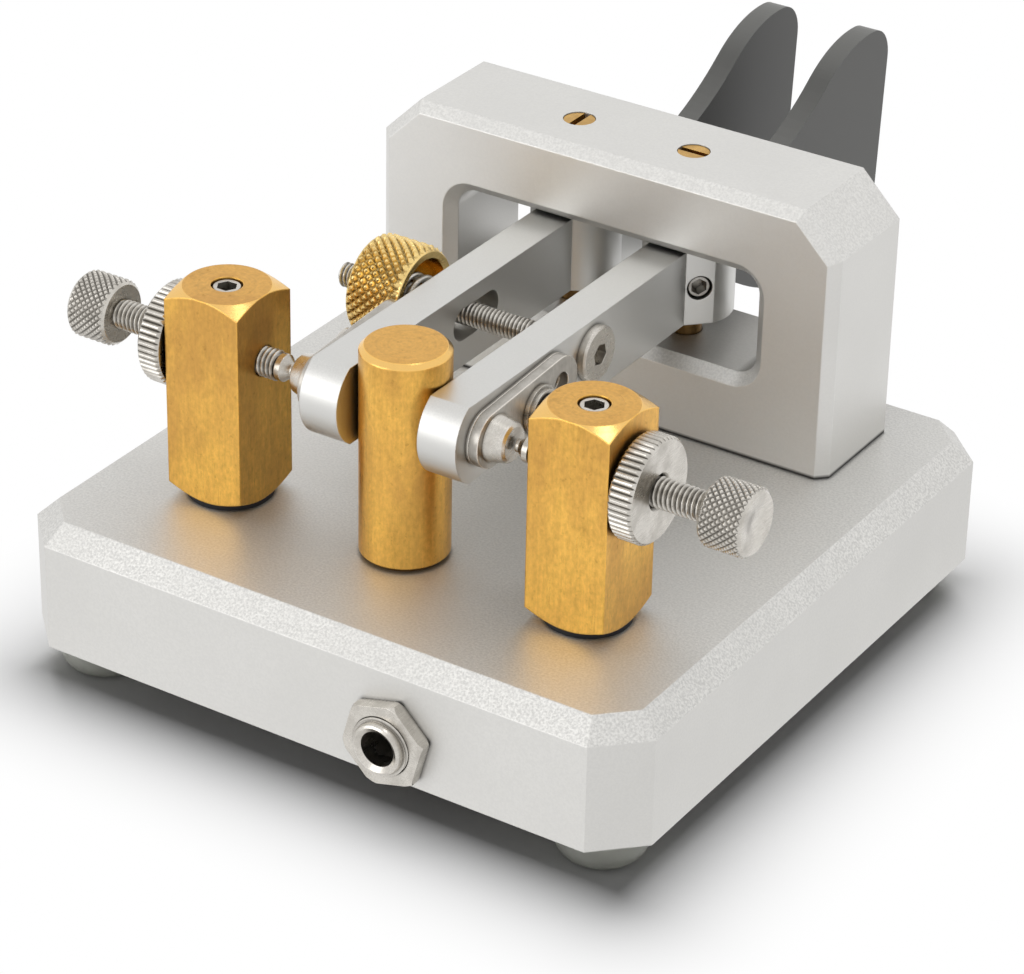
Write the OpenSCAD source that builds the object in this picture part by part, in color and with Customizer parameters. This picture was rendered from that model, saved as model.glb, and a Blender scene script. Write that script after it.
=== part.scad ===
// Twin-lever telegraph key: two sprung levers on vertical pivots, each with its own contact screw.
// Millimetres. The desk is at Z 0, the finger pieces point to +Y and the socket faces -Y.

/* [Base] */
// Width of the base plate
base_w = 70; // [66:0.5:90]
// Depth of the base plate, front to back
base_d = 70; // [66:0.5:90]
// Thickness of the base plate
base_h = 13.3; // [12:0.1:20]
// Length cut off each side at the four corners
base_cut = 4.45; // [2:0.05:8]
// Chamfer round the top edge of the base
base_edge = 2.05; // [0.5:0.05:3]
// Diameter of a rubber foot
foot_d = 9; // [6:0.1:12]
// Height of a rubber foot
foot_h = 4.2; // [1.5:0.1:6]
// Distance from the sides of the base to the centre of a foot
foot_inset = 6.4; // [5.5:0.1:9]

/* [Pivot frame] */
// Width of the pivot frame
frame_w = 52.7; // [50:0.1:62]
// Depth of the pivot frame, front to back
frame_t = 12.4; // [11.5:0.1:16]
// Distance from the rear edge of the base to the frame
frame_back = 7.45; // [3:0.05:10]
// Size of the slanted corners at the top of the frame
frame_corner = 4.3; // [1.5:0.1:6]
// Chamfer round the front face of the frame
frame_edge = 1.1; // [0.3:0.05:1.6]
// Height of the sill under the window
sill_h = 8.55; // [7:0.05:12]
// Height of the bar over the window
roof_h = 8.4; // [6:0.1:12]
// Width of the window
window_w = 35; // [30:0.1:37]
// Corner radius of the window
window_r = 2.15; // [1:0.05:3]
// Chamfer round the front of the window
window_edge = 1.15; // [0.3:0.05:1.6]
// Diameter of the bolts that hold the frame to the base
frame_bolt_d = 4; // [3:0.1:4.6]
// Length of those bolts inside the frame
frame_bolt_grip = 9; // [5:0.5:14]

/* [Levers] */
// Space between the two levers
lever_gap = 9; // [8.6:0.1:11]
// Thickness of a lever
lever_t = 4.2; // [3.6:0.1:5]
// Height of a lever
lever_h = 8; // [7.4:0.1:10]
// Distance from the pivot to the contact end of a lever
lever_reach = 44.95; // [44:0.05:47]
// Radius of the contact end
lever_end_r = 4.7; // [4.2:0.1:6]
// Gap between the window sill and a lever
lever_sill_gap = 2.65; // [1.5:0.05:4]
// Gap between a lever and the top of the window
lever_roof_gap = 0.4; // [0.3:0.05:1]
// Diameter of the hub that turns on the pivot
hub_d = 9.4; // [8.6:0.1:10]
// Distance from the pivot to the slanted flat of the hub
hub_flat = 4.45; // [4:0.05:4.6]
// Diameter of the hub set screw
hub_screw_d = 2.5; // [2:0.1:3]
// Thickness of the arm that carries a finger piece
arm_t = 2.1; // [1.6:0.1:2.6]
// Length of the arm behind the pivot frame
arm_reach = 11; // [9:0.1:14]

/* [Pivots] */
// Diameter of a pivot shaft
pivot_d = 2.4; // [1.8:0.1:2.8]
// Radius left at the point of a pivot shaft
pivot_point_r = 0.2; // [0.1:0.05:0.4]
// Diameter of the slotted pivot screws
pivot_screw_d = 3.2; // [3:0.1:4]
// Gap between a hub and a pivot screw
pivot_shoulder_gap = 0.2; // [0.15:0.01:0.25]
// Width of the slot in a pivot screw
pivot_slot_w = 0.7; // [0.4:0.05:1]
// Depth of the slot in a pivot screw
pivot_slot_deep = 0.9; // [0.5:0.05:1.5]
// Distance of a pivot screw below the top of the frame
pivot_screw_sink = 0.1; // [0:0.05:0.5]

/* [Finger pieces] */
// Thickness of a finger piece
paddle_t = 2.3; // [1.6:0.1:3]
// Distance from the pivot to the far edge of a finger piece
paddle_reach = 40.45; // [38:0.05:46]
// Height of a finger piece above the lever
paddle_rise = 8.5; // [6:0.1:11]
// Depth of a finger piece below the lever
paddle_drop = 7.9; // [6:0.1:9.5]
// Radius of the upper edge
paddle_crown_r = 14.5; // [13:0.1:16]
// Distance from the far edge to the highest point
paddle_crown_in = 4.8; // [4:0.1:6]
// Radius of the lower edge
paddle_belly_r = 40; // [36:0.5:46]
// Distance from the far edge to the lowest point
paddle_belly_in = 9.2; // [7:0.1:11]
// Radius of the two far corners
paddle_corner_r = 3.8; // [2:0.1:4]
// Radius of the hollow where the upper edge meets the root
paddle_neck_r = 34; // [26:0.5:40]
// Distance that the far edge leans forward at its foot
paddle_lean = 1.1; // [0:0.1:2]
// Gap between the pivot frame and a finger piece
paddle_frame_gap = 1.05; // [0.5:0.05:2]
// Distance between the two screws of a finger piece
paddle_screw_pitch = 5; // [5:0.1:6]
// Diameter of a finger piece screw
paddle_screw_d = 2; // [1.6:0.1:2.4]

/* [Contact plates] */
// Height of a contact plate
plate_w = 5.6; // [5.2:0.1:6.4]
// Length of a contact plate
plate_l = 17.1; // [16.6:0.1:20]
// Slope of a contact plate against its lever, in degrees
plate_tilt = 3.5; // [0:0.5:5]
// Thickness of a contact plate
plate_t = 1; // [0.6:0.05:1.4]
// Thickness of the spacer under a contact plate
spacer_t = 0.35; // [0.2:0.05:0.8]
// Distance from the contact end of a lever to its plate
plate_in = 1.6; // [1:0.1:2.4]
// Distance from the end of the plate to the stud
stud_in = 3.2; // [2.8:0.05:4]
// Diameter of a contact stud at the plate
stud_d = 4.8; // [3.8:0.1:5.2]
// Diameter of a contact stud at its end
stud_end_d = 3.9; // [3.2:0.1:4.2]
// Length of a contact stud
stud_l = 2; // [1.2:0.1:3]
// Distance from the stud to the plate screw
plate_screw_in = 7; // [6.4:0.05:7.2]
// Diameter of the plate screw
plate_screw_d = 2; // [1.6:0.1:2.2]
// Diameter of the washers under the plate screw
plate_washer_d = 5; // [4:0.1:5.2]
// Thickness of one of those two washers
plate_washer_t = 0.45; // [0.3:0.05:0.8]
// Diameter of the spare hole in a plate
plate_hole_d = 2.4; // [1.6:0.1:2.8]

/* [Contact posts] */
// Distance from a contact stud to its post
post_gap = 4.1; // [3.6:0.1:5]
// Width of a square contact post
post_w = 8.5; // [8:0.1:9.5]
// Height of a post above the contact screw
post_over = 6.85; // [5.5:0.05:9]
// Slope of the turned ends of a post, in degrees
post_end_angle = 30; // [15:1:40]
// Height of the contact screws above the middle of a lever
contact_lift = 0.15; // [0:0.05:0.8]
// Thickness of the black washer under a post
post_washer_t = 0.5; // [0.3:0.05:1.5]
// Diameter of the bolt under a post
post_bolt_d = 3; // [2.5:0.1:3.4]
// Length of that bolt inside a post
post_bolt_grip = 5; // [3:0.1:6]
// Outer diameter of the insulating bush in the base
bush_d = 5; // [4.4:0.1:5.4]
// Diameter of the flange of that bush
bush_flange_d = 7.4; // [6.6:0.1:8]
// Thickness of the flange of that bush
bush_flange_t = 0.8; // [0.5:0.05:1.2]
// Diameter of the set screw in the top of a post
lock_screw_d = 3; // [2.5:0.1:3.5]
// Height of the round stop post above the levers
centre_over = 2.8; // [0:0.1:5]
// Chamfer of the stop post
centre_edge = 0.5; // [0.2:0.05:1]

/* [Contact screws] */
// Thread diameter of a contact screw
contact_d = 3; // [2.6:0.1:3.4]
// Length of a contact screw from its head to its tip
contact_l = 20.6; // [19.4:0.1:24]
// Gap at rest between a stud and the tip of its contact screw
contact_gap = 0.4; // [0.36:0.01:1]
// Diameter of a knurled head
head_d = 6.7; // [5.5:0.1:9]
// Length of a knurled head
head_l = 4.5; // [3:0.1:7]
// Diameter of a locknut
nut_d = 10.3; // [8:0.1:12]
// Thickness of a locknut
nut_t = 2.5; // [1.6:0.1:3]
// Diameter of the silver tip
tip_d = 2.7; // [2.3:0.1:2.8]
// Length of the silver tip
tip_l = 1.4; // [1:0.05:1.6]
// Diameter of the contact nib on the tip
nib_d = 1.3; // [1:0.1:1.8]
// Length of the contact nib on the tip
nib_l = 0.35; // [0.3:0.05:0.8]

/* [Tension] */
// Thread diameter of the tension rod
rod_d = 2.5; // [2:0.1:2.8]
// Distance of the rod behind the contact screws
rod_behind = 18.7; // [18:0.05:19.5]
// Distance of the rod above the middle of a lever
rod_lift = 0.5; // [0:0.05:1]
// Length of the rod past the left lever
rod_out = 11.5; // [10:0.1:16]
// Diameter of the flat head of the rod
rod_head_d = 5.7; // [4.5:0.1:6.5]
// Thickness of the flat head of the rod
rod_head_t = 0.9; // [0.6:0.05:1.5]
// Length of the slot in the left lever
slot_l = 7.9; // [6:0.1:10]
// Height of the slot in the left lever
slot_h = 3.4; // [3.2:0.1:4]
// Diameter of the tension knob
knob_d = 10.5; // [9.6:0.1:13]
// Length of the tension knob
knob_l = 5.9; // [5.2:0.1:7]
// Gap between the left lever and the rim of the knob
knob_gap = 1.9; // [1.5:0.05:3]
// Diameter of the hollow in the knob
cup_d = 8; // [7.6:0.1:8.4]
// Depth of the hollow in the knob
cup_deep = 4.4; // [3.8:0.05:4.8]
// Outer diameter of the tension spring
spring_d = 4.8; // [4.4:0.1:6.6]
// Wire diameter of the tension spring
wire_d = 0.6; // [0.4:0.05:0.7]
// Number of curls in the tension spring
spring_turns = 4.5; // [3.5:0.5:5]

/* [Socket] */
// Distance of the socket to the right of the middle
socket_x = 9.5; // [8.6:0.1:12]
// Height of the socket above the underside of the base
socket_z = 4.35; // [4.2:0.05:5.4]
// Diameter of the hole for the plug
socket_d = 3.6; // [3.5:0.05:4.4]
// Thread diameter of the socket bushing
bushing_d = 6; // [5.6:0.1:6.6]
// Distance that the bushing stands out of the base
bushing_out = 2.5; // [2:0.05:4]
// Width of the hex nut across its flats
hex_w = 8; // [7.6:0.1:8.4]
// Thickness of the hex nut
hex_t = 1.5; // [1.2:0.1:1.9]
// Turn of the hex nut, in degrees
hex_turn = 15; // [0:1:59]
// Width of the socket body
socket_w = 7.4; // [6.8:0.1:7.6]
// Height of the socket body
socket_h = 6.2; // [5.2:0.1:6.4]
// Length of the socket body
socket_l = 10; // [9:0.1:11]

/* [Underside] */
// Thickness of the front wall that holds the socket
front_wall = 3.2; // [2.6:0.1:4]
// Width of the wiring channel
channel_w = 9; // [8.4:0.1:9.6]
// Depth of the wiring channel
channel_deep = 7; // [6.6:0.1:8]
// Land on which the sides of the cover rest
cover_land = 1.8; // [1:0.1:2]
// Land on which the ends of the cover rest
cover_end_land = 0.6; // [0.4:0.1:0.8]
// Length of the screw tabs at the ends of the cover
cover_tab_l = 4; // [3.4:0.1:4.4]
// Width of those tabs
cover_tab_w = 5; // [4:0.1:6]
// Land on which the cover rests behind the front wall
cover_wall_land = 1.2; // [0.8:0.1:1.6]
// Thickness of the cover
cover_t = 1; // [0.6:0.1:1.2]
// Diameter of a cover screw
cover_screw_d = 1.6; // [1.2:0.1:2]
// Diameter of the insulated wires
lead_d = 1.2; // [0.8:0.1:1.4]

/* [Clearances] */
// Running clearance on a radius, and between screws and their holes
fit = 0.05; // [0.02:0.01:0.08]
// Gap at rest between a lever and the stop post
stop_gap = 0.1; // [0.05:0.01:0.3]
// Gap between a locknut and its post
nut_gap = 0.35; // [0.2:0.05:1]
// Room round a piece that sits loosely in a pocket
pocket_gap = 0.3; // [0.2:0.05:0.5]

/* [Hidden] */
$fn = 48;
// Length by which a cut runs past the face that it opens
over = 1;

// Colours as the photograph shows them
aluminium = "#CFCFCB";
bright = "#D9D9D6";
brass = "#C9963F";
gold = "#DDAE4C";
steel = "#B9BABA";
black = "#26262A";
slate = "#5F5E5B";
rubber = "#9AA39A";
copper = "#B87146";

// Heights
base_z = foot_h;
top_z = base_z + base_h;
sill_z = top_z + sill_h;
lever_z = sill_z + lever_sill_gap;
lever_top = lever_z + lever_h;
lever_mid = lever_z + lever_h / 2;
window_h = lever_sill_gap + lever_h + lever_roof_gap;
frame_h = sill_h + window_h + roof_h;
frame_top = top_z + frame_h;
contact_z = lever_mid + contact_lift;
post_z = top_z + post_washer_t;
post_h = contact_z + post_over - post_z;
rod_z = lever_mid + rod_lift;
socket_up = base_z + socket_z;
roof_z = base_z + channel_deep;

// Distances across the key, from its middle plane to the right
lever_in = lever_gap / 2;
lever_out = lever_in + lever_t;
pivot_x = lever_in + lever_t / 2;
arm_set = 0.3;
arm_in = pivot_x - hub_d / 2 + arm_set;
arm_out = arm_in + arm_t;
paddle_out = arm_out + paddle_t;
plate_out = lever_out + spacer_t + plate_t;
stud_end = plate_out + stud_l;
tip_x = stud_end + contact_gap;
contact_head_x = tip_x + contact_l;
post_x = stud_end + post_gap + post_w / 2;
post_out = post_x + post_w / 2;
frame_bolt_x = window_w / 2 + (frame_w - window_w) / 4;
knob_x = lever_out + knob_gap;
rod_end = lever_out + rod_out;

// Distances along the key, from the front edge of the base to the rear, and then from the
// middle of the whole length
pivot_v = base_d - frame_back - frame_t / 2;
lever_v = pivot_v - lever_reach;
stud_v = lever_v + plate_in + stud_in;
middle_v = (pivot_v + paddle_reach - bushing_out) / 2;
front_y = -middle_v;
rear_y = base_d - middle_v;
pivot_y = pivot_v - middle_v;
lever_y = lever_v - middle_v;
stud_y = stud_v - middle_v;
plate_screw_y = stud_y + plate_screw_in;
rod_y = stud_y + rod_behind;
frame_front = pivot_y - frame_t / 2;
frame_rear = pivot_y + frame_t / 2;
paddle_far = pivot_y + paddle_reach;
paddle_root = frame_rear + paddle_frame_gap;
arm_end = frame_rear + arm_reach;

// Finger piece outline
crown_y = paddle_far - paddle_crown_in;
crown_z = lever_top + paddle_rise - paddle_crown_r;
belly_y = paddle_far - paddle_belly_in;
belly_z = lever_z - paddle_drop + paddle_belly_r;
root_drop = 0.2;
paddle_root_top = lever_top - root_drop;
neck_z = paddle_root_top + paddle_neck_r;
neck_y = crown_y - sqrt(pow(paddle_crown_r + paddle_neck_r, 2) - pow(neck_z - crown_z, 2));
corner_y = paddle_far - paddle_corner_r;
upper_corner_z = crown_z + sqrt(pow(paddle_crown_r - paddle_corner_r, 2) - pow(corner_y - crown_y, 2));
lower_corner_y = corner_y - paddle_lean;
lower_corner_z = belly_z - sqrt(pow(paddle_belly_r - paddle_corner_r, 2) - pow(lower_corner_y - belly_y, 2));
paddle_screw_y = (paddle_root + arm_end) / 2;
screw_head_t = 1.2;

// Small sizes that several pieces share: chamfers, screw heads and the sockets in them
small_edge = 0.2;
nut_edge = 0.3;
knurl_edge = 0.5;
key_share = 0.6;
frame_bolt_head_d = frame_bolt_d * 1.75;
post_bolt_head_d = post_bolt_d * 1.8;
plate_screw_head_d = plate_screw_d * 1.8;
paddle_screw_head_d = paddle_screw_d * 2;
cover_screw_head_d = cover_screw_d * 1.7;
cover_screw_l = cover_screw_d * 3;

// Underside
channel_end = post_x + channel_w / 2;
socket_y = front_y + front_wall;
flange_t = 0.8;
socket_rear = socket_y + flange_t + socket_l;
lug_t = 0.5;
lug_w = 2.1;
lug_reach = post_bolt_d * 2.1;
lug_hold = lug_reach - 1;
bolt_head_t = 1.8;
head_room = 0.3;
cover_y = stud_y;

// Wires leave the socket lugs to the rear and turn off along one lane of the channel
lug_l = 2;
wire_lane = max(stud_y, socket_rear + lug_l + lead_d) + lead_d;
channel_front = cover_y - channel_w / 2;
channel_rear = max(cover_y + channel_w / 2, wire_lane + lead_d);

// Tension spring, wound from the lever to the bottom of the knob
spring_r = spring_d / 2 - wire_d / 2;
spring_gap = 0.1;
spring_l = knob_gap + cup_deep - 2 * spring_gap;
coil_l = spring_l - 2 * wire_d;

// Children mirrored to the left side where the sign is -1
module on_side(side) {
    if (side < 0) mirror([1, 0, 0]) children();
    else children();
}

// Children on both sides
module both_sides() {
    for (side = [-1, 1]) on_side(side) children();
}

// Children turned so that their Z axis points along +X
module along_x(x, y, z) {
    translate([x, y, z]) rotate([0, 90, 0]) children();
}

// Children turned so that their Z axis points along -Y
module along_front(x, y, z) {
    translate([x, y, z]) rotate([90, 0, 0]) children();
}

// Disc with a chamfer at both ends, standing on Z 0
module chamfered_disc(r, h, edge) {
    rotate_extrude()
        polygon([[0, 0], [r - edge, 0], [r, edge], [r, h - edge], [r - edge, h], [0, h]]);
}

// Socket for a hex key, cut down from Z 0
module hex_socket(width, deep) {
    translate([0, 0, -deep]) cylinder(d = width / cos(30), h = deep + over, $fn = 6);
}

// Set screw with a hex socket, from Z 0 down
module set_screw(d, l) {
    difference() {
        translate([0, 0, -l]) chamfered_disc(d / 2, l, small_edge);
        hex_socket(d * key_share, l / 2);
    }
}

// Bolt with a round head below Z 0 and a shank above it
module round_head_bolt(d, l, head_w, head_h) {
    difference() {
        union() {
            cylinder(d = d, h = l);
            translate([0, 0, -head_h]) chamfered_disc(head_w / 2, head_h, small_edge);
        }
        translate([0, 0, -head_h]) mirror([0, 0, 1]) hex_socket(d * key_share, head_h * key_share);
    }
}

// Plan of the base: a rectangle with its corners cut
module base_plan() {
    w = base_w / 2;
    polygon([[-w + base_cut, front_y], [w - base_cut, front_y], [w, front_y + base_cut],
        [w, rear_y - base_cut], [w - base_cut, rear_y], [-w + base_cut, rear_y],
        [-w, rear_y - base_cut], [-w, front_y + base_cut]]);
}

// Wedge that chamfers one edge of the base, along X at the origin
module base_edge_cut() {
    reach = max(base_w, base_d);
    rotate([0, 90, 0])
        linear_extrude(reach, center = true)
        polygon([[base_edge, -over], [base_edge, 0], [0, base_edge], [-over, base_edge], [-over, -over]]);
}

// Openings in the underside, wiring channel and socket chamber, with lands round them or none
module underside_openings(land, end_land, wall_land, deep) {
    chamber_w = socket_w / 2 + pocket_gap + land;
    translate([-channel_end - end_land, channel_front - land, base_z - over])
        cube([2 * (channel_end + end_land), channel_rear - channel_front + 2 * land, deep + over]);
    translate([socket_x - chamber_w, socket_y - wall_land, base_z - over])
        cube([2 * chamber_w, channel_rear - socket_y + wall_land, deep + over]);
}

// Tabs at the two ends of the cover, with room round them or none
module cover_tabs(room) {
    l = channel_end + cover_tab_l + room;
    w = cover_tab_w / 2 + room;
    translate([-l, cover_y - w, base_z - over]) cube([2 * l, 2 * w, cover_t + over]);
}

// Places of the cover screws, on the tabs
module cover_screw_places() {
    for (side = [-1, 1])
        translate([side * (channel_end + cover_tab_l / 2), cover_y, base_z]) children();
}

module base_plate() {
    color(aluminium) difference() {
        translate([0, 0, base_z]) linear_extrude(base_h) base_plan();
        translate([0, front_y, top_z]) base_edge_cut();
        translate([0, rear_y, top_z]) rotate([0, 0, 180]) base_edge_cut();
        both_sides() {
            translate([base_w / 2, (front_y + rear_y) / 2, top_z]) rotate([0, 0, 90]) base_edge_cut();
            translate([(base_w - base_cut) / 2, front_y + base_cut / 2, top_z])
                rotate([0, 0, 45]) base_edge_cut();
            translate([(base_w - base_cut) / 2, rear_y - base_cut / 2, top_z])
                rotate([0, 0, 135]) base_edge_cut();
        }
        underside_openings(0, 0, 0, channel_deep);
        translate([socket_x - socket_w / 2 - pocket_gap, socket_y, base_z])
            cube([socket_w + 2 * pocket_gap, socket_rear - socket_y + pocket_gap,
                socket_z + socket_h / 2 + pocket_gap]);
        underside_openings(cover_land + fit, cover_end_land + fit, cover_wall_land + fit, cover_t);
        cover_tabs(fit);
        along_front(socket_x, socket_y + over, socket_up)
            cylinder(d = bushing_d + 2 * fit, h = front_wall + 2 * over);
        both_sides() {
            translate([post_x, stud_y, base_z]) cylinder(d = bush_d + 2 * fit, h = base_h + over);
            translate([frame_bolt_x, pivot_y, base_z - over])
                cylinder(d = frame_bolt_d + 2 * fit, h = base_h + 2 * over);
            translate([frame_bolt_x, pivot_y, base_z - over])
                cylinder(d = frame_bolt_head_d + 2 * fit, h = frame_bolt_d + head_room + over);
        }
        translate([0, stud_y, base_z]) cylinder(d = post_bolt_d + 2 * fit, h = base_h + over);
        cover_screw_places() cylinder(d = cover_screw_d + 2 * fit, h = cover_t + cover_screw_l + head_room);
    }
}

module rubber_feet() {
    x = base_w / 2 - foot_inset;
    round_r = foot_h / 2;
    color(rubber) both_sides()
        for (y = [front_y + foot_inset, rear_y - foot_inset])
            translate([x, y, 0]) rotate_extrude() union() {
                square([foot_d / 2 - round_r, foot_h]);
                translate([0, round_r]) square([foot_d / 2, foot_h - round_r]);
                translate([foot_d / 2 - round_r, round_r]) circle(r = round_r);
            }
}

module underside_cover() {
    color(bright) difference() {
        intersection() {
            union() {
                underside_openings(cover_land, cover_end_land, cover_wall_land, cover_t);
                cover_tabs(0);
            }
            translate([-base_w, front_y, base_z]) cube([2 * base_w, base_d, cover_t]);
        }
        cover_screw_places() {
            translate([0, 0, -over]) cylinder(d = cover_screw_d + 2 * fit, h = cover_t + 2 * over);
            translate([0, 0, -over]) cylinder(d = cover_screw_head_d + 2 * fit, h = over + cover_t / 2);
        }
    }
}

module cover_screws() {
    color(steel) cover_screw_places() {
        cylinder(d = cover_screw_head_d, h = cover_t / 2);
        cylinder(d = cover_screw_d, h = cover_t + cover_screw_l);
    }
}

// Front outline of the pivot frame, standing in the XZ plane
module frame_outline() {
    w = frame_w / 2;
    polygon([[-w, 0], [w, 0], [w, frame_h - frame_corner], [w - frame_corner, frame_h],
        [-w + frame_corner, frame_h], [-w, frame_h - frame_corner]]);
}

// Wedge that chamfers one front edge of the frame, along X at the origin, below and behind it
module frame_edge_cut(l) {
    rotate([0, 90, 0]) linear_extrude(l, center = true)
        polygon([[frame_edge, 0], [0, frame_edge], [-over, frame_edge], [-over, -over],
            [frame_edge, -over]]);
}

// Window opening with its chamfered front, in the XZ plane about its own centre
module window_cut() {
    w = window_w / 2 - window_r;
    h = window_h / 2 - window_r;
    flare = [[0, 0], [window_r, 0], [window_r, frame_t + over - window_edge], [window_r + window_edge + over,
        frame_t + over + over], [0, frame_t + over + over]];
    wide = window_r + window_edge + over;
    deep = frame_t + 2 * over;
    for (x = [-w, w], y = [-h, h]) translate([x, y, 0]) rotate_extrude() polygon(flare);
    rotate([90, 0, 90]) linear_extrude(2 * w, center = true)
        polygon([[-h - window_r, 0], [h + window_r, 0], [h + window_r, deep - over - window_edge],
            [h + wide, deep], [-h - wide, deep], [-h - window_r, deep - over - window_edge]]);
    rotate([90, 0, 0]) linear_extrude(2 * h, center = true)
        polygon([[-w - window_r, 0], [w + window_r, 0], [w + window_r, deep - over - window_edge],
            [w + wide, deep], [-w - wide, deep], [-w - window_r, deep - over - window_edge]]);
}

module pivot_frame() {
    corner_l = frame_corner * sqrt(2) + 2 * over;
    w = frame_w / 2;
    color(aluminium) difference() {
        along_front(0, frame_rear, top_z) linear_extrude(frame_t) frame_outline();
        along_front(0, frame_rear + over, sill_z + window_h / 2) window_cut();
        translate([0, frame_front, frame_top]) frame_edge_cut(frame_w);
        both_sides() {
            translate([w, frame_front, top_z + frame_h / 2])
                rotate([0, 90, 0]) frame_edge_cut(frame_h + 2 * over);
            translate([w - frame_corner / 2, frame_front, frame_top - frame_corner / 2])
                rotate([0, 45, 0]) frame_edge_cut(corner_l);
            translate([pivot_x, pivot_y, top_z - over])
                cylinder(d = pivot_screw_d + 2 * fit, h = frame_h + 2 * over);
            translate([frame_bolt_x, pivot_y, top_z - over])
                cylinder(d = frame_bolt_d + 2 * fit, h = frame_bolt_grip + over + head_room);
        }
    }
}

module frame_bolts() {
    shank = base_h - frame_bolt_d - head_room + frame_bolt_grip;
    color(steel) both_sides()
        translate([frame_bolt_x, pivot_y, base_z + frame_bolt_d + head_room])
            round_head_bolt(frame_bolt_d, shank, frame_bolt_head_d, frame_bolt_d);
}

// Pointed end of a pivot shaft above Z 0, or the cup for it with a clearance
module pivot_point(clear) {
    r = pivot_d / 2;
    straight = pivot_shoulder_gap + small_edge / 2;
    tip = straight + r - pivot_point_r;
    rotate_extrude() polygon([[0, -clear], [r + clear, -clear], [r + clear, straight],
        [pivot_point_r + clear, tip], [pivot_point_r + clear, tip + clear], [0, tip + clear]]);
}

// Slotted pivot screw, from Z 0 up, with its cup at the bottom
module pivot_screw(l, slot_angle) {
    difference() {
        cylinder(d = pivot_screw_d, h = l);
        translate([0, 0, -pivot_shoulder_gap]) pivot_point(fit);
        translate([0, 0, l - pivot_slot_deep]) rotate([0, 0, slot_angle])
            translate([-pivot_screw_d, -pivot_slot_w / 2, 0])
                cube([2 * pivot_screw_d, pivot_slot_w, pivot_slot_deep + over]);
    }
}

module upper_pivot_screws() {
    z = lever_top + pivot_shoulder_gap;
    color(brass) for (side = [-1, 1])
        translate([side * pivot_x, pivot_y, z])
            pivot_screw(frame_top - pivot_screw_sink - z, side < 0 ? 90 : 0);
}

module lower_pivot_screws() {
    z = lever_z - pivot_shoulder_gap;
    color(brass) both_sides()
        translate([pivot_x, pivot_y, z]) mirror([0, 0, 1]) pivot_screw(z - top_z - pivot_screw_sink, 90);
}

// Side outline of a lever: a bar whose contact end is an arc
module lever_outline() {
    intersection() {
        translate([lever_y, lever_z]) square([lever_reach, lever_h]);
        union() {
            translate([lever_y + lever_end_r, lever_mid]) circle(r = lever_end_r);
            translate([lever_y + lever_end_r, lever_z - over]) square([lever_reach, lever_h + 2 * over]);
        }
    }
}

// Round hub with a slanted flat that faces the contact end and the outside
module hub() {
    difference() {
        cylinder(d = hub_d, h = lever_h);
        rotate([0, 0, -45]) translate([hub_flat, -hub_d, -over])
            cube([hub_d, 2 * hub_d, lever_h + 2 * over]);
    }
}

// Right-hand lever without the hole for the tension rod
module lever_body() {
    difference() {
        union() {
            translate([lever_in, 0, 0]) rotate([90, 0, 90]) linear_extrude(lever_t) lever_outline();
            translate([pivot_x, pivot_y, lever_z]) hub();
            translate([arm_in, pivot_y, lever_z]) cube([arm_t, arm_end - pivot_y, lever_h]);
        }
        translate([pivot_x, pivot_y, lever_z - over])
            cylinder(d = pivot_d + 2 * fit, h = lever_h + 2 * over);
        translate([pivot_x, pivot_y, lever_mid]) rotate([0, 90, -45])
            cylinder(d = hub_screw_d + 2 * fit, h = hub_d);
        along_x(lever_in - over, stud_y, contact_z)
            cylinder(d = stud_d / 2 + 2 * fit, h = lever_t + 2 * over);
        along_x(lever_in - over, plate_screw_y, lever_mid)
            cylinder(d = plate_screw_d + 2 * fit, h = lever_t + 2 * over);
        for (step = [-0.5, 0.5])
            along_x(arm_in - over, paddle_screw_y + step * paddle_screw_pitch, lever_mid)
                cylinder(d = paddle_screw_d + 2 * fit, h = arm_t + 2 * over);
    }
}

module left_lever() {
    color(aluminium) on_side(-1) difference() {
        lever_body();
        along_x(lever_in - over, rod_y, rod_z) linear_extrude(lever_t + 2 * over) {
            square([slot_h, slot_l - slot_h], center = true);
            for (end = [-1, 1]) translate([0, end * (slot_l - slot_h) / 2]) circle(d = slot_h);
        }
    }
}

module right_lever() {
    color(aluminium) difference() {
        lever_body();
        along_x(lever_in - over, rod_y, rod_z) cylinder(d = rod_d + 2 * fit, h = lever_t + 2 * over);
    }
}

module pivot_shaft(side) {
    color(steel) on_side(side) translate([pivot_x, pivot_y, 0]) {
        translate([0, 0, lever_z]) cylinder(d = pivot_d, h = lever_h);
        translate([0, 0, lever_top]) pivot_point(0);
        translate([0, 0, lever_z]) mirror([0, 0, 1]) pivot_point(0);
    }
}

module left_pivot_shaft() { pivot_shaft(-1); }

module right_pivot_shaft() { pivot_shaft(1); }

module hub_screw(side) {
    sink = head_room;
    color(steel) on_side(side) translate([pivot_x, pivot_y, lever_mid]) rotate([0, 90, -45])
        translate([0, 0, hub_flat - sink])
            set_screw(hub_screw_d, hub_flat - sink - pivot_d / 2 - fit);
}

module left_hub_screw() { hub_screw(-1); }

module right_hub_screw() { hub_screw(1); }

// Points along an arc in the side view, from one angle to another
function arc(y, z, r, from, to, steps) = [for (i = [0:steps])
    let (angle = from + (to - from) * i / steps) [y + r * cos(angle), z + r * sin(angle)]];

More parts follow.
